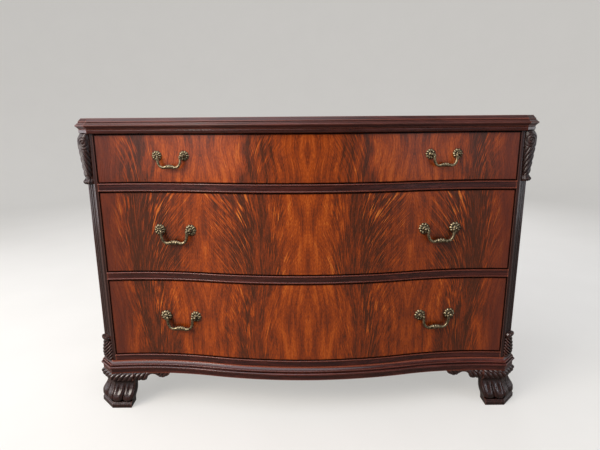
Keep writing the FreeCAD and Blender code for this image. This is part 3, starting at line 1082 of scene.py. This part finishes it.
@dataclass(frozen=True)
class Lobes:
    """Row of slanting lobes, cut by depth * (|sin(pi (z + slant x) / pitch)| ^ power - 1)."""

    depth: float
    pitch: float
    slant: float
    power: float = 0.5

    def at(self, x: Array, z: Array) -> Array:
        """Depth of the cuts between the lobes, negative."""
        wave = np.abs(np.sin(math.pi * (z + self.slant * x) / self.pitch))
        return self.depth * (wave ** self.power - 1.0)


@dataclass
class CarvedCorner:
    """Canted corner post with reeds and a leaf at its foot, and the scroll corbel above.

    Sizes are millimetres; u runs along the cant towards the side, v out of it. Leaf and
    corbel are tables of (height, half width, projection). Their carving is laid out as the
    front sees it, on x = (u + v) / sqrt 2.
    """

    finishes: FinishSet
    side: Side
    leaf: Sequence[Triple] = (
        (149, 20.5, 11.0), (160, 21.5, 14.0), (185, 20.5, 13.5), (202, 17.5, 11.5), (211, 16.0, 11.5),
        (219, 17.5, 14.5), (225, 14.5, 14.0))
    leaf_rows: int = 177
    leaf_shift: float = 2.0
    leaf_lobes: Lobes = Lobes(6.5, 10.0, 0.85, 0.8)
    leaf_span: tuple[Pair, Pair] = ((151, 158), (207, 214))
    leaf_side: Pair = (10.0, 18.0)
    leaf_side_lost: float = 0.7
    bulb: Sequence[Triple] = (
        (688, 17.5, 14.0), (694, 18.5, 17.5), (701, 16.5, 12.5), (716, 17.5, 13.5), (745, 19.5, 16.5),
        (775, 21.0, 19.5), (800, 21.5, 21.0), (815, 21.5, 19.5), (826, 20.5, 12.5))
    bulb_rows: int = 176
    bulb_shift: float = 2.5
    bulb_lobes: Lobes = Lobes(5.6, 17.0, -1.5)
    lobe_span: tuple[Pair, Pair] = ((697, 708), (776, 788))
    coil: Cut = Cut(2.4, 0.17)
    coil_pitch: float = 8.5
    coil_fall: Pair = (17.0, 22.0)
    eye: Cut = Cut(1.6, 2.6)
    eye_place: Pair = (3.0, 801.0)
    flute: Cut = Cut(2.6, 2.2)
    flute_places: Triple = (-6.0, 3.0, 12.0)
    flute_fall: Pair = (703, 714)
    thinnest: float = 1.0
    reed_step: float = 13.2
    reed_r: float = 6.4
    reed_sink: float = 5.6
    reed_span: Pair = (218.0, 688.0)
    post_span: Pair = (111.5, 838.0)
    inner_x: float = 585.0
    shoulder_x: float = 592.0
    back_y: float = -150.0
    post_sharp: float = 50.0
    corbel_sharp: float = 60.0

    def reeds(self, u: Array) -> Array:
        """Depth of the three reeds: circles of radius reed_r whose crests are flush."""
        nearest = np.clip(np.round(u / self.reed_step), -1, 1) * self.reed_step
        arc = np.sqrt(np.maximum(self.reed_r ** 2 - (u - nearest) ** 2, 0.0)) - self.reed_r
        return np.where(np.abs(u) < 1.5 * self.reed_step, np.maximum(arc, -self.reed_sink), 0.0)

    def leaf_relief(self, x: Array, z: Array) -> Array:
        """Cuts of the leaf, negative: slanting gouges that rise towards the drawers."""
        shown = band(*self.leaf_span, z) * (1.0 - self.leaf_side_lost * smooth(*self.leaf_side, x))
        return self.leaf_lobes.at(x, z) * shown

    def scroll_relief(self, x: Array, z: Array) -> Array:
        """Cuts of the corbel.

        A spiral at the top, where r / pitch + angle / 2 pi is a whole number, then steep leaf
        lobes that run down and inwards, and flutes at the curled tip.

        Args:
            x: place across, as the front sees it, without the corbel's shift.
            z: height.

        Returns:
            The depth of the cuts, negative.
        """
        x = x + self.bulb_shift / ROOT_2
        cut = self.bulb_lobes.at(x, z) * band(*self.lobe_span, z)
        dx, dz = x - self.eye_place[0], z - self.eye_place[1]
        r = np.hypot(dx, dz)
        turns = r / self.coil_pitch + np.arctan2(dz, dx) / FULL_TURN
        cut = cut - self.coil.at(turns - np.round(turns)) * (1.0 - smooth(*self.coil_fall, r))
        cut = cut - self.eye.at(r)
        for place in self.flute_places:
            cut = cut - self.flute.at(x - place) * (1.0 - smooth(*self.flute_fall, z))
        return cut

    def swelling(self, table: Sequence[Triple], rows: int, shift: float,
                 relief: Callable[[Array, Array], Array]) -> Patch:
        """Skin of a swelling: a rounded section carried up its table, cut by a relief.

        The section is half width * sin(a) ** 0.75 across and projection * cos(a) ** 0.55 ahead.

        Args:
            table: the swelling's sizes.
            rows: how many sections.
            shift: how far it stands towards the side.
            relief: its cuts over place and height.

        Returns:
            The closed skin.
        """
        height, half, proud = np.array(table, float).T
        z = np.linspace(height[0], height[-1], rows)[:, None]
        a = np.linspace(-QUARTER_TURN, QUARTER_TURN, 91)[None, :]
        half, proud = (trace(list(zip(height, size)), z) for size in (half, proud))
        across = np.sign(a) * np.abs(np.sin(a)) ** 0.75
        ahead = np.cos(a).clip(0.0) ** 0.55
        cut = relief((half * across + proud * ahead) / ROOT_2, z)
        u = (half + 0.5 * cut) * across + shift
        v = np.maximum(proud + cut, self.thinnest) * ahead
        return Patch(self.side.mirror(PLAN.cant_point(u * MM, v * MM, z * MM)), closed=True)

    def post_skin(self) -> Patch:
        """Skin of the post: its plan carried up, the cant reeded above the leaf.

        Returns:
            The closed skin.
        """
        low, high = self.reed_span
        z = np.concatenate([[self.post_span[0], low], np.linspace(low + 0.05, high - 0.5, 12),
                            [high, self.post_span[1]]])[:, None]
        width = PLAN.cant / MM / ROOT_2
        edges = [side * 1.5 * self.reed_step + step for side in (-1, 1) for step in (-0.01, 0.01)]
        u = np.sort(np.concatenate([np.linspace(-width, width, 97), edges]))[None, :]
        proud = np.where((z > low) & (z < high), self.reeds(u), 0.0)
        cant = PLAN.cant_point(u * MM, proud * MM, z * MM)
        corners = [(x * MM, float(PLAN.front_y(x * MM))) for x in (self.inner_x, self.shoulder_x)]
        corners += [(PLAN.half_width, self.back_y * MM), (self.inner_x * MM, self.back_y * MM)]
        flats = [grid_of(x, y, z * MM) for x, y in corners]
        plan = np.concatenate(flats[:2] + [cant] + flats[2:], axis=1)
        return Patch(self.side.mirror(plan), closed=True)

    def build(self) -> None:
        """Build the post with its leaf, then the corbel."""
        leaf = self.swelling(self.leaf, self.leaf_rows, self.leaf_shift, self.leaf_relief)
        make_piece(f"corner_post_{self.side.word}", Make.CARVED, [self.post_skin(), leaf], self.post_sharp,
                   self.finishes.carved)
        bulb = self.swelling(self.bulb, self.bulb_rows, self.bulb_shift, self.scroll_relief)
        make_piece(f"corner_corbel_{self.side.word}", Make.CARVED, [bulb], self.corbel_sharp,
                   self.finishes.scroll)


@dataclass
class CarvedFoot:
    """Canted bracket feet: gadrooned head, hollow neck, lobes over a plinth; with their wings.

    Millimetres; s runs round the foot from the front's inner edge, u away from it along a
    wing. The profile and the taper are (height, size), the wing's edge is (u, height).
    """

    finishes: FinishSet
    profile: Sequence[Pair] = (
        (0, 21.0), (1, 21.5), (12.4, 21.5), (13.4, 20.8), (14.2, 19.4), (16.6, 19.2), (17.6, 18.0),
        (18.6, 16.6), (21.5, 20.4), (27, 23.3), (34, 23.4), (42, 20.9), (51, 15.8), (60, 10.2), (69, 5.2),
        (75, 3.4), (79, 4.6), (82.5, 9.5), (87, 14.5), (93, 17.6), (99, 18.4), (104.5, 17.0), (108.5, 14.0),
        (111.5, 10.0))
    taper: Sequence[Pair] = ((0, 11.0), (18, 9.5), (31, 5.0), (45, 1.5), (60, 0.0), (111.5, 0.0))
    plinth_rows: Sequence[float] = (0.0, 1.0, 12.4, 13.4, 14.2, 16.6, 17.6, 18.4)
    facets: Triple = (64.0, 54.0, 58.0)
    top: float = 111.5
    inner_x: float = 533.0
    inner_y: float = -124.0
    leg_x: float = 605.0
    leg_y: float = -193.0
    gadroon_pitch: float = 14.5
    gadroon_depth: float = 5.0
    gadroon_slant: float = 0.75
    gadroon_middle: float = 97.0
    gadroon_land: float = 1.02
    gadroon_rise: Pair = (79.0, 86.0)
    toe_depth: float = 7.6
    toe_span: Pair = (76.0, 52.0)
    toe_foot: float = 18.5
    rim_low: float = 19.5
    rim_rise: float = 7.0
    rim_depth: float = 5.0
    dish: Cut = Cut(3.4, 12.0)
    dish_middle: float = 54.0
    dish_across: Cut = Cut(1.0, 0.42)
    wing_low: Sequence[Pair] = (
        (0, 82), (10, 82.6), (22, 83.6), (33.5, 84.3), (36.2, 85.6), (37.8, 91), (40.4, 96.2), (46, 102.0),
        (51.5, 104.8), (56.5, 105.4), (62, 104.9), (67, 103.0), (73, 98.2), (80, 94.8), (87, 94.0),
        (93, 95.2), (100, 98.6), (105.8, 102.4), (109.8, 107.5), (111, 111))
    wing_out: float = 12.5
    wing_blend: Pair = (20.0, 60.0)
    wing_ridges_fall: Pair = (34.0, 41.0)
    wing_back: float = -3.0
    wing_least: float = -1.0
    tail: Lobes = Lobes(3.4, 12.0, -0.75)
    tail_rise: Pair = (65.0, 73.0)
    bevel: Cut = Cut(3.0, 1.8)
    bevel_rise: Pair = (2.0, 8.0)
    sharp_deg: float = 50.0

    def gadroon(self, s: Array, z: Array) -> Array:
        """Leaning half-round lobes with narrow grooves between them.

        Args:
            s: place round the foot.
            z: height.

        Returns:
            The depth of the cuts, negative.
        """
        q = (s + self.gadroon_slant * (z - self.gadroon_middle)) / self.gadroon_pitch
        q = 2.0 * (q - np.floor(q)) - 1.0
        arc = np.sqrt(np.maximum(1.0 - (q / self.gadroon_land) ** 2, 0.0))
        return self.gadroon_depth * (arc - 1.0)

    def lobes(self, t: Array, z: Array) -> Array:
        """Two swelling toes on a facet, parted by deep grooves, with U-shaped rims above the plinth.

        Args:
            t: place across the facet, 0 to 1.
            z: height.

        Returns:
            The depth of the cuts, negative.
        """
        w = np.abs(2.0 * (2.0 * t - np.floor(np.minimum(2.0 * t, 1.999))) - 1.0)
        crown = np.sqrt(np.maximum(1.0 - w ** 2.4, 0.0))
        rim = self.rim_low + self.rim_rise * w ** 2.5
        toe = smooth(*self.toe_span, z) * self.toe_depth * (crown - 1.0)
        toe = toe - self.rim_depth * (1.0 - smooth(rim - 1.0, rim + 5.0, z))
        toe = toe - self.dish_across.at(w) * self.dish.at(z - self.dish_middle)
        return np.where(z > self.toe_foot, toe, 0.0)

    def foot(self, side: Side) -> None:
        """Build a foot: three facets whose offset is the profile plus the carving.

        Args:
            side: the side where it stands.
        """
        neck = self.toe_span[0]
        z = np.concatenate([self.plinth_rows, np.linspace(18.6, neck, 106),
                            np.linspace(neck + 0.6, self.top, 64)])[:, None]
        out, inset = trace(self.profile, z), trace(self.taper, z)
        cant_x, cant_y, cant, half_width = (
            v / MM for v in (PLAN.cant_x, PLAN.cant_y, PLAN.cant, PLAN.half_width))
        t = np.linspace(0.0, 1.0, 81)[None, :]
        grids = []
        for facet, length in enumerate(self.facets):
            ridges = self.gadroon(sum(self.facets[:facet]) + length * t, z) * smooth(*self.gadroon_rise, z)
            o = out + self.lobes(t, z) * (z < neck + 0.5) + ridges
            shift = o * (ROOT_2 - 1.0)
            ends = [(self.inner_x + inset, cant_y - o), (cant_x + shift, cant_y - o),
                    (half_width + o, cant_y + cant - shift), (half_width + o, self.inner_y - inset)]
            (x0, y0), (x1, y1) = ends[facet], ends[facet + 1]
            grids.append(grid_of(x0 + (x1 - x0) * t, y0 + (y1 - y0) * t, z))
        legs = [(self.leg_x, self.inner_y - inset), (self.leg_x, self.leg_y),
                (self.inner_x + inset, self.leg_y)]
        grids += [grid_of(x, y, z) for x, y in legs]
        skin = Patch(side.mirror(np.concatenate(grids, axis=1) * MM), closed=True)
        make_piece(f"front_foot_{side.word}", Make.CARVED, [skin], self.sharp_deg, self.finishes.carved)

    def wing_section(self) -> tuple[Array, Array, Array]:
        """Work out a wing over (u, section), its outer face first and then its back.

        Returns:
            Place along the wing, projection and height.
        """
        u = np.linspace(0.0, self.wing_low[-1][0], 223)[:, None]
        low = trace(self.wing_low, u)
        z = low + (self.top - low) * np.linspace(0.0, 1.0, 33)[None, :]
        foot_out = trace(self.profile, z)
        out = foot_out + (self.wing_out - foot_out) * smooth(*self.wing_blend, u)
        out = out + self.gadroon(-u, z) * (1.0 - smooth(*self.wing_ridges_fall, u))
        out = out + self.tail.at(z - self.gadroon_middle, u) * smooth(*self.tail_rise, u)
        out = np.maximum(out - self.bevel.at(z - low) * smooth(*self.bevel_rise, u), self.wing_least)
        back = np.full((len(u), 2), self.wing_back)
        z = np.concatenate([z, np.full((len(u), 1), self.top), low], axis=1)
        return np.broadcast_to(u, z.shape), np.concatenate([out, back], axis=1), z

    def build(self) -> None:
        """Build both feet, then the four wings along the front and the sides."""
        for side in Side:
            self.foot(side)
        u, out, z = self.wing_section()
        x = (self.inner_x - u) * MM
        along_front = grid_of(x, PLAN.front_y(x, out * MM), z * MM)
        along_side = grid_of(PLAN.half_width + out * MM, (self.inner_y + u) * MM, z * MM)
        skins = [Patch(side.mirror(grid), closed=True)
                 for side in Side for grid in (along_front, along_side)]
        make_piece("bracket_wings", Make.CARVED, skins, self.sharp_deg, self.finishes.carved)


# Pulls


@dataclass
class SwanPull:
    """Swan-neck bail pulls of one drawer, with petalled rosettes.

    Sizes are millimetres for the nominal post distance; a pull grows with its post distance.
    Half the bail's path is (across, up) from a pin to the middle, and the rosette's dome is
    (share of the radius, height).
    """

    finishes: FinishSet
    tier: Tier
    height: float
    spacing: float
    nominal: float = 78.0
    pull_x: float = 375.5
    pivot_out: float = 14.0
    half_path: Sequence[Pair] = (
        (42.0, 0.0), (37.5, 0.0), (33.6, -0.2), (31.8, -2.8), (32.1, -8.0), (31.7, -15.5), (29.4, -22.8),
        (24.4, -28.6), (17.2, -30.9), (8.4, -29.4), (0.0, -28.4))
    rod_r: float = 3.6
    pin_r: float = 1.5
    pin_shoulder: Pair = (34.2, 32.0)
    pin_low: float = -2.0
    swell: float = 2.6
    swell_half: float = 12.0
    swell_top: float = -20.0
    bead_pitch: float = 5.8
    bead_share: float = 0.2
    collars: Sequence[tuple[float, Cut]] = ((14.6, Cut(1.0, 1.3)), (18.0, Cut(0.6, 1.1)))
    rosette_r: float = 14.3
    dome: Sequence[Pair] = (
        (0.1, 7.0), (0.26, 7.0), (0.33, 5.4), (0.42, 4.4), (0.62, 5.0), (0.82, 4.2), (1.0, 1.8))
    petals: int = 10
    petal_depth: float = 1.9
    petal_rise: Pair = (0.3, 0.5)
    notch: float = 0.09
    notch_rise: Pair = (0.7, 1.0)
    bail_sharp: float = 60.0
    rosette_sharp: float = 50.0

    @property
    def size(self) -> float:
        """How much this pull is larger than the nominal one."""
        return self.spacing / self.nominal

    def place(self, points: Array, side: Side) -> Array:
        """Turn local millimetres (front is -Y) onto the drawer face.

        Args:
            points: the local points.
            side: the side of the drawer.

        Returns:
            The points, in metres.
        """
        turn = side.value * math.asin((PLAN.hollow_x - self.pull_x * MM) / PLAN.hollow_r)
        c, s = math.cos(turn), math.sin(turn)
        x, y, z = np.moveaxis(points, -1, 0)
        base = np.array([side.value * self.pull_x, float(PLAN.front_y(self.pull_x * MM)) / MM, self.height])
        return (grid_of(c * x - s * y, s * x + c * y, z) + base) * MM

    def rod(self, path: Array) -> Array:
        """Radius of the bail: pins, a plain rod, and a swelling with beads between collars.

        The swelling is exp(-(x / half) ^ 4), and the beads are a cosine of x on it.

        Args:
            path: (across, up) along the bail.

        Returns:
            The radius at each point.
        """
        x, up = np.abs(path[:, 0]), path[:, 1]
        beads = 1.0 - self.bead_share + self.bead_share * np.cos(FULL_TURN * x / self.bead_pitch)
        proud = self.swell * np.exp(-(x / self.swell_half) ** 4) * beads
        for middle, collar in self.collars:
            proud = proud + collar.at(x - middle)
        radius = self.rod_r + np.where(up < self.swell_top, proud, 0.0)
        pin = self.pin_r + (self.rod_r - self.pin_r) * smooth(*self.pin_shoulder, x)
        return np.where(up > self.pin_low, pin, radius)

    def bail(self, side: Side) -> None:
        """Build a bail: a round tube along a smooth planar path.

        Args:
            side: the side of the drawer.
        """
        half = np.array(self.half_path)
        knots = np.concatenate([half, half[-2::-1] * [-1.0, 1.0]])
        reach = np.concatenate([[0.0], np.cumsum(np.hypot(*np.diff(knots, axis=0).T))])
        s = np.linspace(0.0, reach[-1], 241)
        path = np.stack([trace(list(zip(reach, knots[:, i])), s) for i in (0, 1)], axis=-1)
        tangent = np.gradient(path, axis=0)
        tangent /= np.linalg.norm(tangent, axis=1, keepdims=True)
        side_way = np.stack([tangent[:, 1], -tangent[:, 0]], axis=-1)
        radius = self.rod(path)[:, None]
        a = np.linspace(0.0, FULL_TURN, 24, endpoint=False)[None, :]
        ring = path[:, None, :] + (radius * np.cos(a))[..., None] * side_way[:, None, :]
        local = grid_of(ring[..., 0], radius * np.sin(a), ring[..., 1]) * self.size
        local = local - np.array([0.0, self.pivot_out, 0.0])
        skin = Patch(self.place(local, side), closed=True)
        node = f"{self.tier.value}_bail_{side.word}"
        make_piece(node, Make.CAST, [skin], self.bail_sharp, self.finishes.brass, node)

    def rosettes(self) -> None:
        """Build four rosettes: domes over radius and angle, parted into petals by radial cuts."""
        r = np.linspace(0.12, 1.0, 40)[:, None]
        a = np.linspace(0.0, FULL_TURN, 145)[None, :-1]
        between = 1.0 - np.abs(np.cos(0.5 * self.petals * a)) ** 0.6
        y = -trace(self.dome, r) + self.petal_depth * smooth(*self.petal_rise, r) * between
        rad = r * (1.0 - self.notch * between * smooth(*self.notch_rise, r)) * self.rosette_r * self.size
        y = np.concatenate([y * self.size, np.zeros_like(a)], axis=0)
        rad = np.concatenate([rad, rad[-1:]], axis=0)
        skins = []
        for side in Side:
            for post in (-0.5 * self.spacing, 0.5 * self.spacing):
                local = grid_of(post + rad * np.cos(a), y, rad * np.sin(a))
                skins.append(Patch(self.place(local, side), closed=True))
        make_piece(f"{self.tier.value}_pull_rosettes", Make.CAST, skins, self.rosette_sharp,
                   self.finishes.brass, f"{self.tier.value}_drawer")

    def build(self) -> None:
        """Build the rosettes and both bails."""
        self.rosettes()
        for side in Side:
            self.bail(side)


# Boards kept from the frame


def dress_boards(finishes: FinishSet) -> None:
    """Give the boards and hardware kept from the frame their finishes.

    Args:
        finishes: the finishes of the chest.
    """
    upright, across = finishes.case[Grain.ALONG_Z], finishes.case[Grain.ALONG_X]
    oak_across, oak_deep = finishes.oak[Grain.ALONG_X], finishes.oak[Grain.ALONG_Y]
    looks = {f"{board}_{side.word}": upright for board in ("side_panel", "rear_foot") for side in Side}
    looks |= {"top_rail": across, "back_panel": finishes.plywood, "dust_panels": finishes.plywood,
              "back_screws": finishes.zinc, "drawer_runners": oak_deep, "drawer_stops": oak_across}
    drawer = {"drawer_front": across, "drawer_back": oak_across, "drawer_bottom": finishes.plywood,
              "pull_nuts": finishes.brass, "pull_posts": finishes.brass,
              "drawer_side_left": oak_deep, "drawer_side_right": oak_deep}
    looks |= {f"{tier.value}_{board}": look for tier in Tier for board, look in drawer.items()}
    for name, material in looks.items():
        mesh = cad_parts[name].data
        mesh.materials.clear()
        mesh.materials.append(material)
        LOG.info("%s: kept board, %s", name, material.name)


# Studio


@dataclass(frozen=True)
class Lamp:
    """A soft area light that hangs at a place and faces a point, with its tint as hex."""

    name: str
    place: Triple
    aim: Triple
    size: Pair
    watts: float
    tint: str

    def hang(self) -> None:
        """Add the light to the scene."""
        light = bpy.data.lights.new(self.name, "AREA")
        light.shape = "RECTANGLE"
        light.size, light.size_y = self.size
        light.energy = self.watts
        light.color = linear(self.tint)[:3]
        lamp = bpy.data.objects.new(self.name, light)
        lamp.location = self.place
        lamp.rotation_euler = (Vector(self.aim) - Vector(self.place)).to_track_quat("-Z", "Y").to_euler()
        bpy.context.scene.collection.objects.link(lamp)


@dataclass
class Studio:
    """Pale sweep, soft lights and the camera at the photographed angle."""

    lens: float = 27.6
    sensor: float = 36.0
    eye: Triple = (-0.0215, -1.49, 0.86)
    pitch: float = 12.9
    roll: float = -0.45
    bend: float = 1.4
    wall: float = 5.6
    wall_high: float = 4.5
    paper: tuple[str, str] = ("a5a39f", "a9a7a3")
    paper_roughness: float = 0.85
    bounce: str = "5a544e"
    glow: float = 0.5
    mirrored: float = 0.07
    glow_colour: str = "f3f1ed"
    sky: str = "f2f4f8"
    sky_strength: float = 0.18
    lamps: Sequence[Lamp] = (
        Lamp("key", (-2.6, -2.0, 2.1), (-0.1, -0.2, 0.4), (1.8, 1.6), 98.0, "fff6ea"),
        Lamp("overhead", (-1.0, -1.1, 3.0), (-0.2, -0.3, 0.0), (4.0, 3.2), 92.0, "f4f6ff"),
        Lamp("left panel", (-2.5, 0.1, 0.95), (0.0, 0.1, 0.5), (2.2, 1.7), 19.0, "f6f8ff"),
        Lamp("right panel", (2.5, 0.2, 0.95), (0.0, 0.2, 0.5), (2.2, 1.7), 9.0, "f6f8ff"),
        Lamp("right strip", (1.9, -1.5, 0.9), (0.5, -0.2, 0.3), (0.3, 1.4), 6.0, "eef3ff"),
        Lamp("front left", (-2.4, -3.6, 1.25), (-0.4, -0.2, 0.7), (1.9, 2.0), 9.0, "eaf0ff"),
        Lamp("front right", (2.3, -3.6, 1.25), (0.4, -0.2, 0.7), (1.9, 2.0), 5.0, "eaf0ff"),
        Lamp("back fill", (0.6, 3.0, 1.9), (0.0, 0.2, 0.4), (2.4, 1.6), 40.0, "f6f8ff"))

    def paper_material(self) -> bpy.types.Material:
        """Matt paper that looks pale to the camera, and is dim where it lights the chest.

        Returns:
            The material.
        """
        material, shader, add = new_material("studio paper, matt")
        cloud = add("TexNoise", {"Vector": add("TexCoord", out="Object"), "Scale": 3.0, "Detail": 3.0})
        tint = add("ValToRGB", [cloud], stops=zip((0.3, 0.7), self.paper))
        seen = add("LightPath", out="Is Camera Ray")
        mirrored = add("Math", [seen.node.outputs["Is Glossy Ray"], self.mirrored], operation="MULTIPLY")
        fill(shader, {
            "Base Color": add("Mix", {0: seen, "A": linear(self.bounce), "B": tint}, **BLEND),
            "Emission Strength": add("Math", [seen, self.glow, mirrored], operation="MULTIPLY_ADD"),
            "Emission Color": linear(self.glow_colour),
            "Roughness": self.paper_roughness})
        return material

    def sweep(self) -> None:
        """Round floor that bends up into a wall along a quarter circle, all the way round."""
        angles = np.linspace(0.0, QUARTER_TURN, 25)
        r = np.concatenate([[0.5 * MM], self.wall - self.bend + self.bend * np.sin(angles), [self.wall]])
        z = np.concatenate([[0.0], self.bend - self.bend * np.cos(angles), [self.wall_high]])
        turn = np.linspace(FULL_TURN, 0.0, 129)[None, :]
        grid = grid_of(r[:, None] * np.cos(turn), r[:, None] * np.sin(turn), z[:, None])
        piece = build_mesh("studio_sweep", [Patch(grid)], 60.0)
        piece.data.materials.append(self.paper_material())

    def camera(self) -> None:
        """Place the camera: pitched down, turned slightly about its own axis."""
        data = bpy.data.cameras.new("photo_view")
        data.lens = self.lens
        data.sensor_width = self.sensor
        data.clip_start = 0.01
        eye = bpy.data.objects.new("photo_view", data)
        eye.matrix_world = (Matrix.Translation(self.eye)
                            @ Matrix.Rotation(math.radians(90.0 - self.pitch), 4, "X")
                            @ Matrix.Rotation(math.radians(self.roll), 4, "Z"))
        bpy.context.scene.collection.objects.link(eye)
        bpy.context.scene.camera = eye

    def build(self) -> None:
        """Set up sweep, lights, sky and camera."""
        self.sweep()
        for lamp in self.lamps:
            lamp.hang()
        world = bpy.data.worlds.new("studio sky")
        world.use_nodes = True
        sky = world.node_tree.nodes["Background"]
        sky.inputs["Color"].default_value = linear(self.sky)
        sky.inputs["Strength"].default_value = self.sky_strength
        bpy.context.scene.world = world
        bpy.context.scene.view_settings.view_transform = "Standard"
        self.camera()


# The chest


@dataclass(frozen=True)
class DrawerSizes:
    """What differs from drawer to drawer: edges of the veneer, posts of the pulls, figure.

    Low, high, the posts' height and the spacing of a pull's two posts are millimetres.
    """

    low: float
    high: float
    post_z: float
    spacing: float
    figure: LeafFigure


DRAWERS = {
    Tier.LOWER: DrawerSizes(170.5, 404.5, 294.5, 91.0, LeafFigure(
        inner=0.48, outer=0.38, way=Fan.TO_SEAM, dark=55 * MM, reach=125 * MM, short=82 * MM,
        lean=34.0, depth=0.7, seed=1.7)),
    Tier.MIDDLE: DrawerSizes(432.5, 664.5, 557.0, 91.0, LeafFigure(
        inner=0.44, outer=0.35, way=Fan.TO_SEAM, dark=120 * MM, reach=190 * MM, short=112 * MM,
        lean=38.0, depth=0.88, seed=4.1)),
    Tier.UPPER: DrawerSizes(692.5, 823.5, 766.0, 78.0, LeafFigure(
        inner=0.56, outer=0.43, way=Fan.FROM_SEAM, dark=52 * MM, reach=115 * MM, short=36 * MM,
        lean=32.0, depth=0.66, seed=7.3)),
}
UNDER_TOP_PROFILE = curve([(826, 5.0), (828, 8.0), (832, 9.2), (836, 9.2), (838, 6.5)])
BASE_PROFILE = (
    [(111.5, 11.5), (124.5, 11.5), (125.3, 10.0)] + bead(129.8, 12.5, 4.0) + [(134.6, 10.0)]
    + bead(138.4, 9.4, 2.6) + curve([(142, 7.2), (144.8, 4.2), (147, 2.6), (149, 2.0)]))
# Behind the base moulding the bottom rail lies a little back.
BOTTOM_RAIL_START = ((111.5, -0.3), (149, -0.3), (149.3, 0.0))


def main() -> None:
    """Build every sub-assembly in order, dress the kept boards and light the scene."""
    logging.basicConfig(level=logging.INFO, format="%(message)s")
    finishes = FinishSet()
    MouldedTop(finishes).build()
    Moulding(finishes, "under_top_moulding", UNDER_TOP_PROFILE).build()
    Moulding(finishes, "base_moulding", BASE_PROFILE).build()
    Rail(finishes, "divider_upper", 667, 690, (669.3, 687.7)).build()
    Rail(finishes, "divider_lower", 407, 430, (409.3, 427.7)).build()
    Rail(finishes, "bottom_rail", 111.5, 168, (165.7,), BOTTOM_RAIL_START).build()
    for tier, sizes in DRAWERS.items():
        VeneeredFace(finishes, tier, sizes.low * MM, sizes.high * MM, sizes.figure).build()
    for side in Side:
        CarvedCorner(finishes, side).build()
    CarvedFoot(finishes).build()
    for tier, sizes in DRAWERS.items():
        SwanPull(finishes, tier, sizes.post_z, sizes.spacing).build()
    dress_boards(finishes)
    Studio().build()


if __name__ == "__main__":
    main()
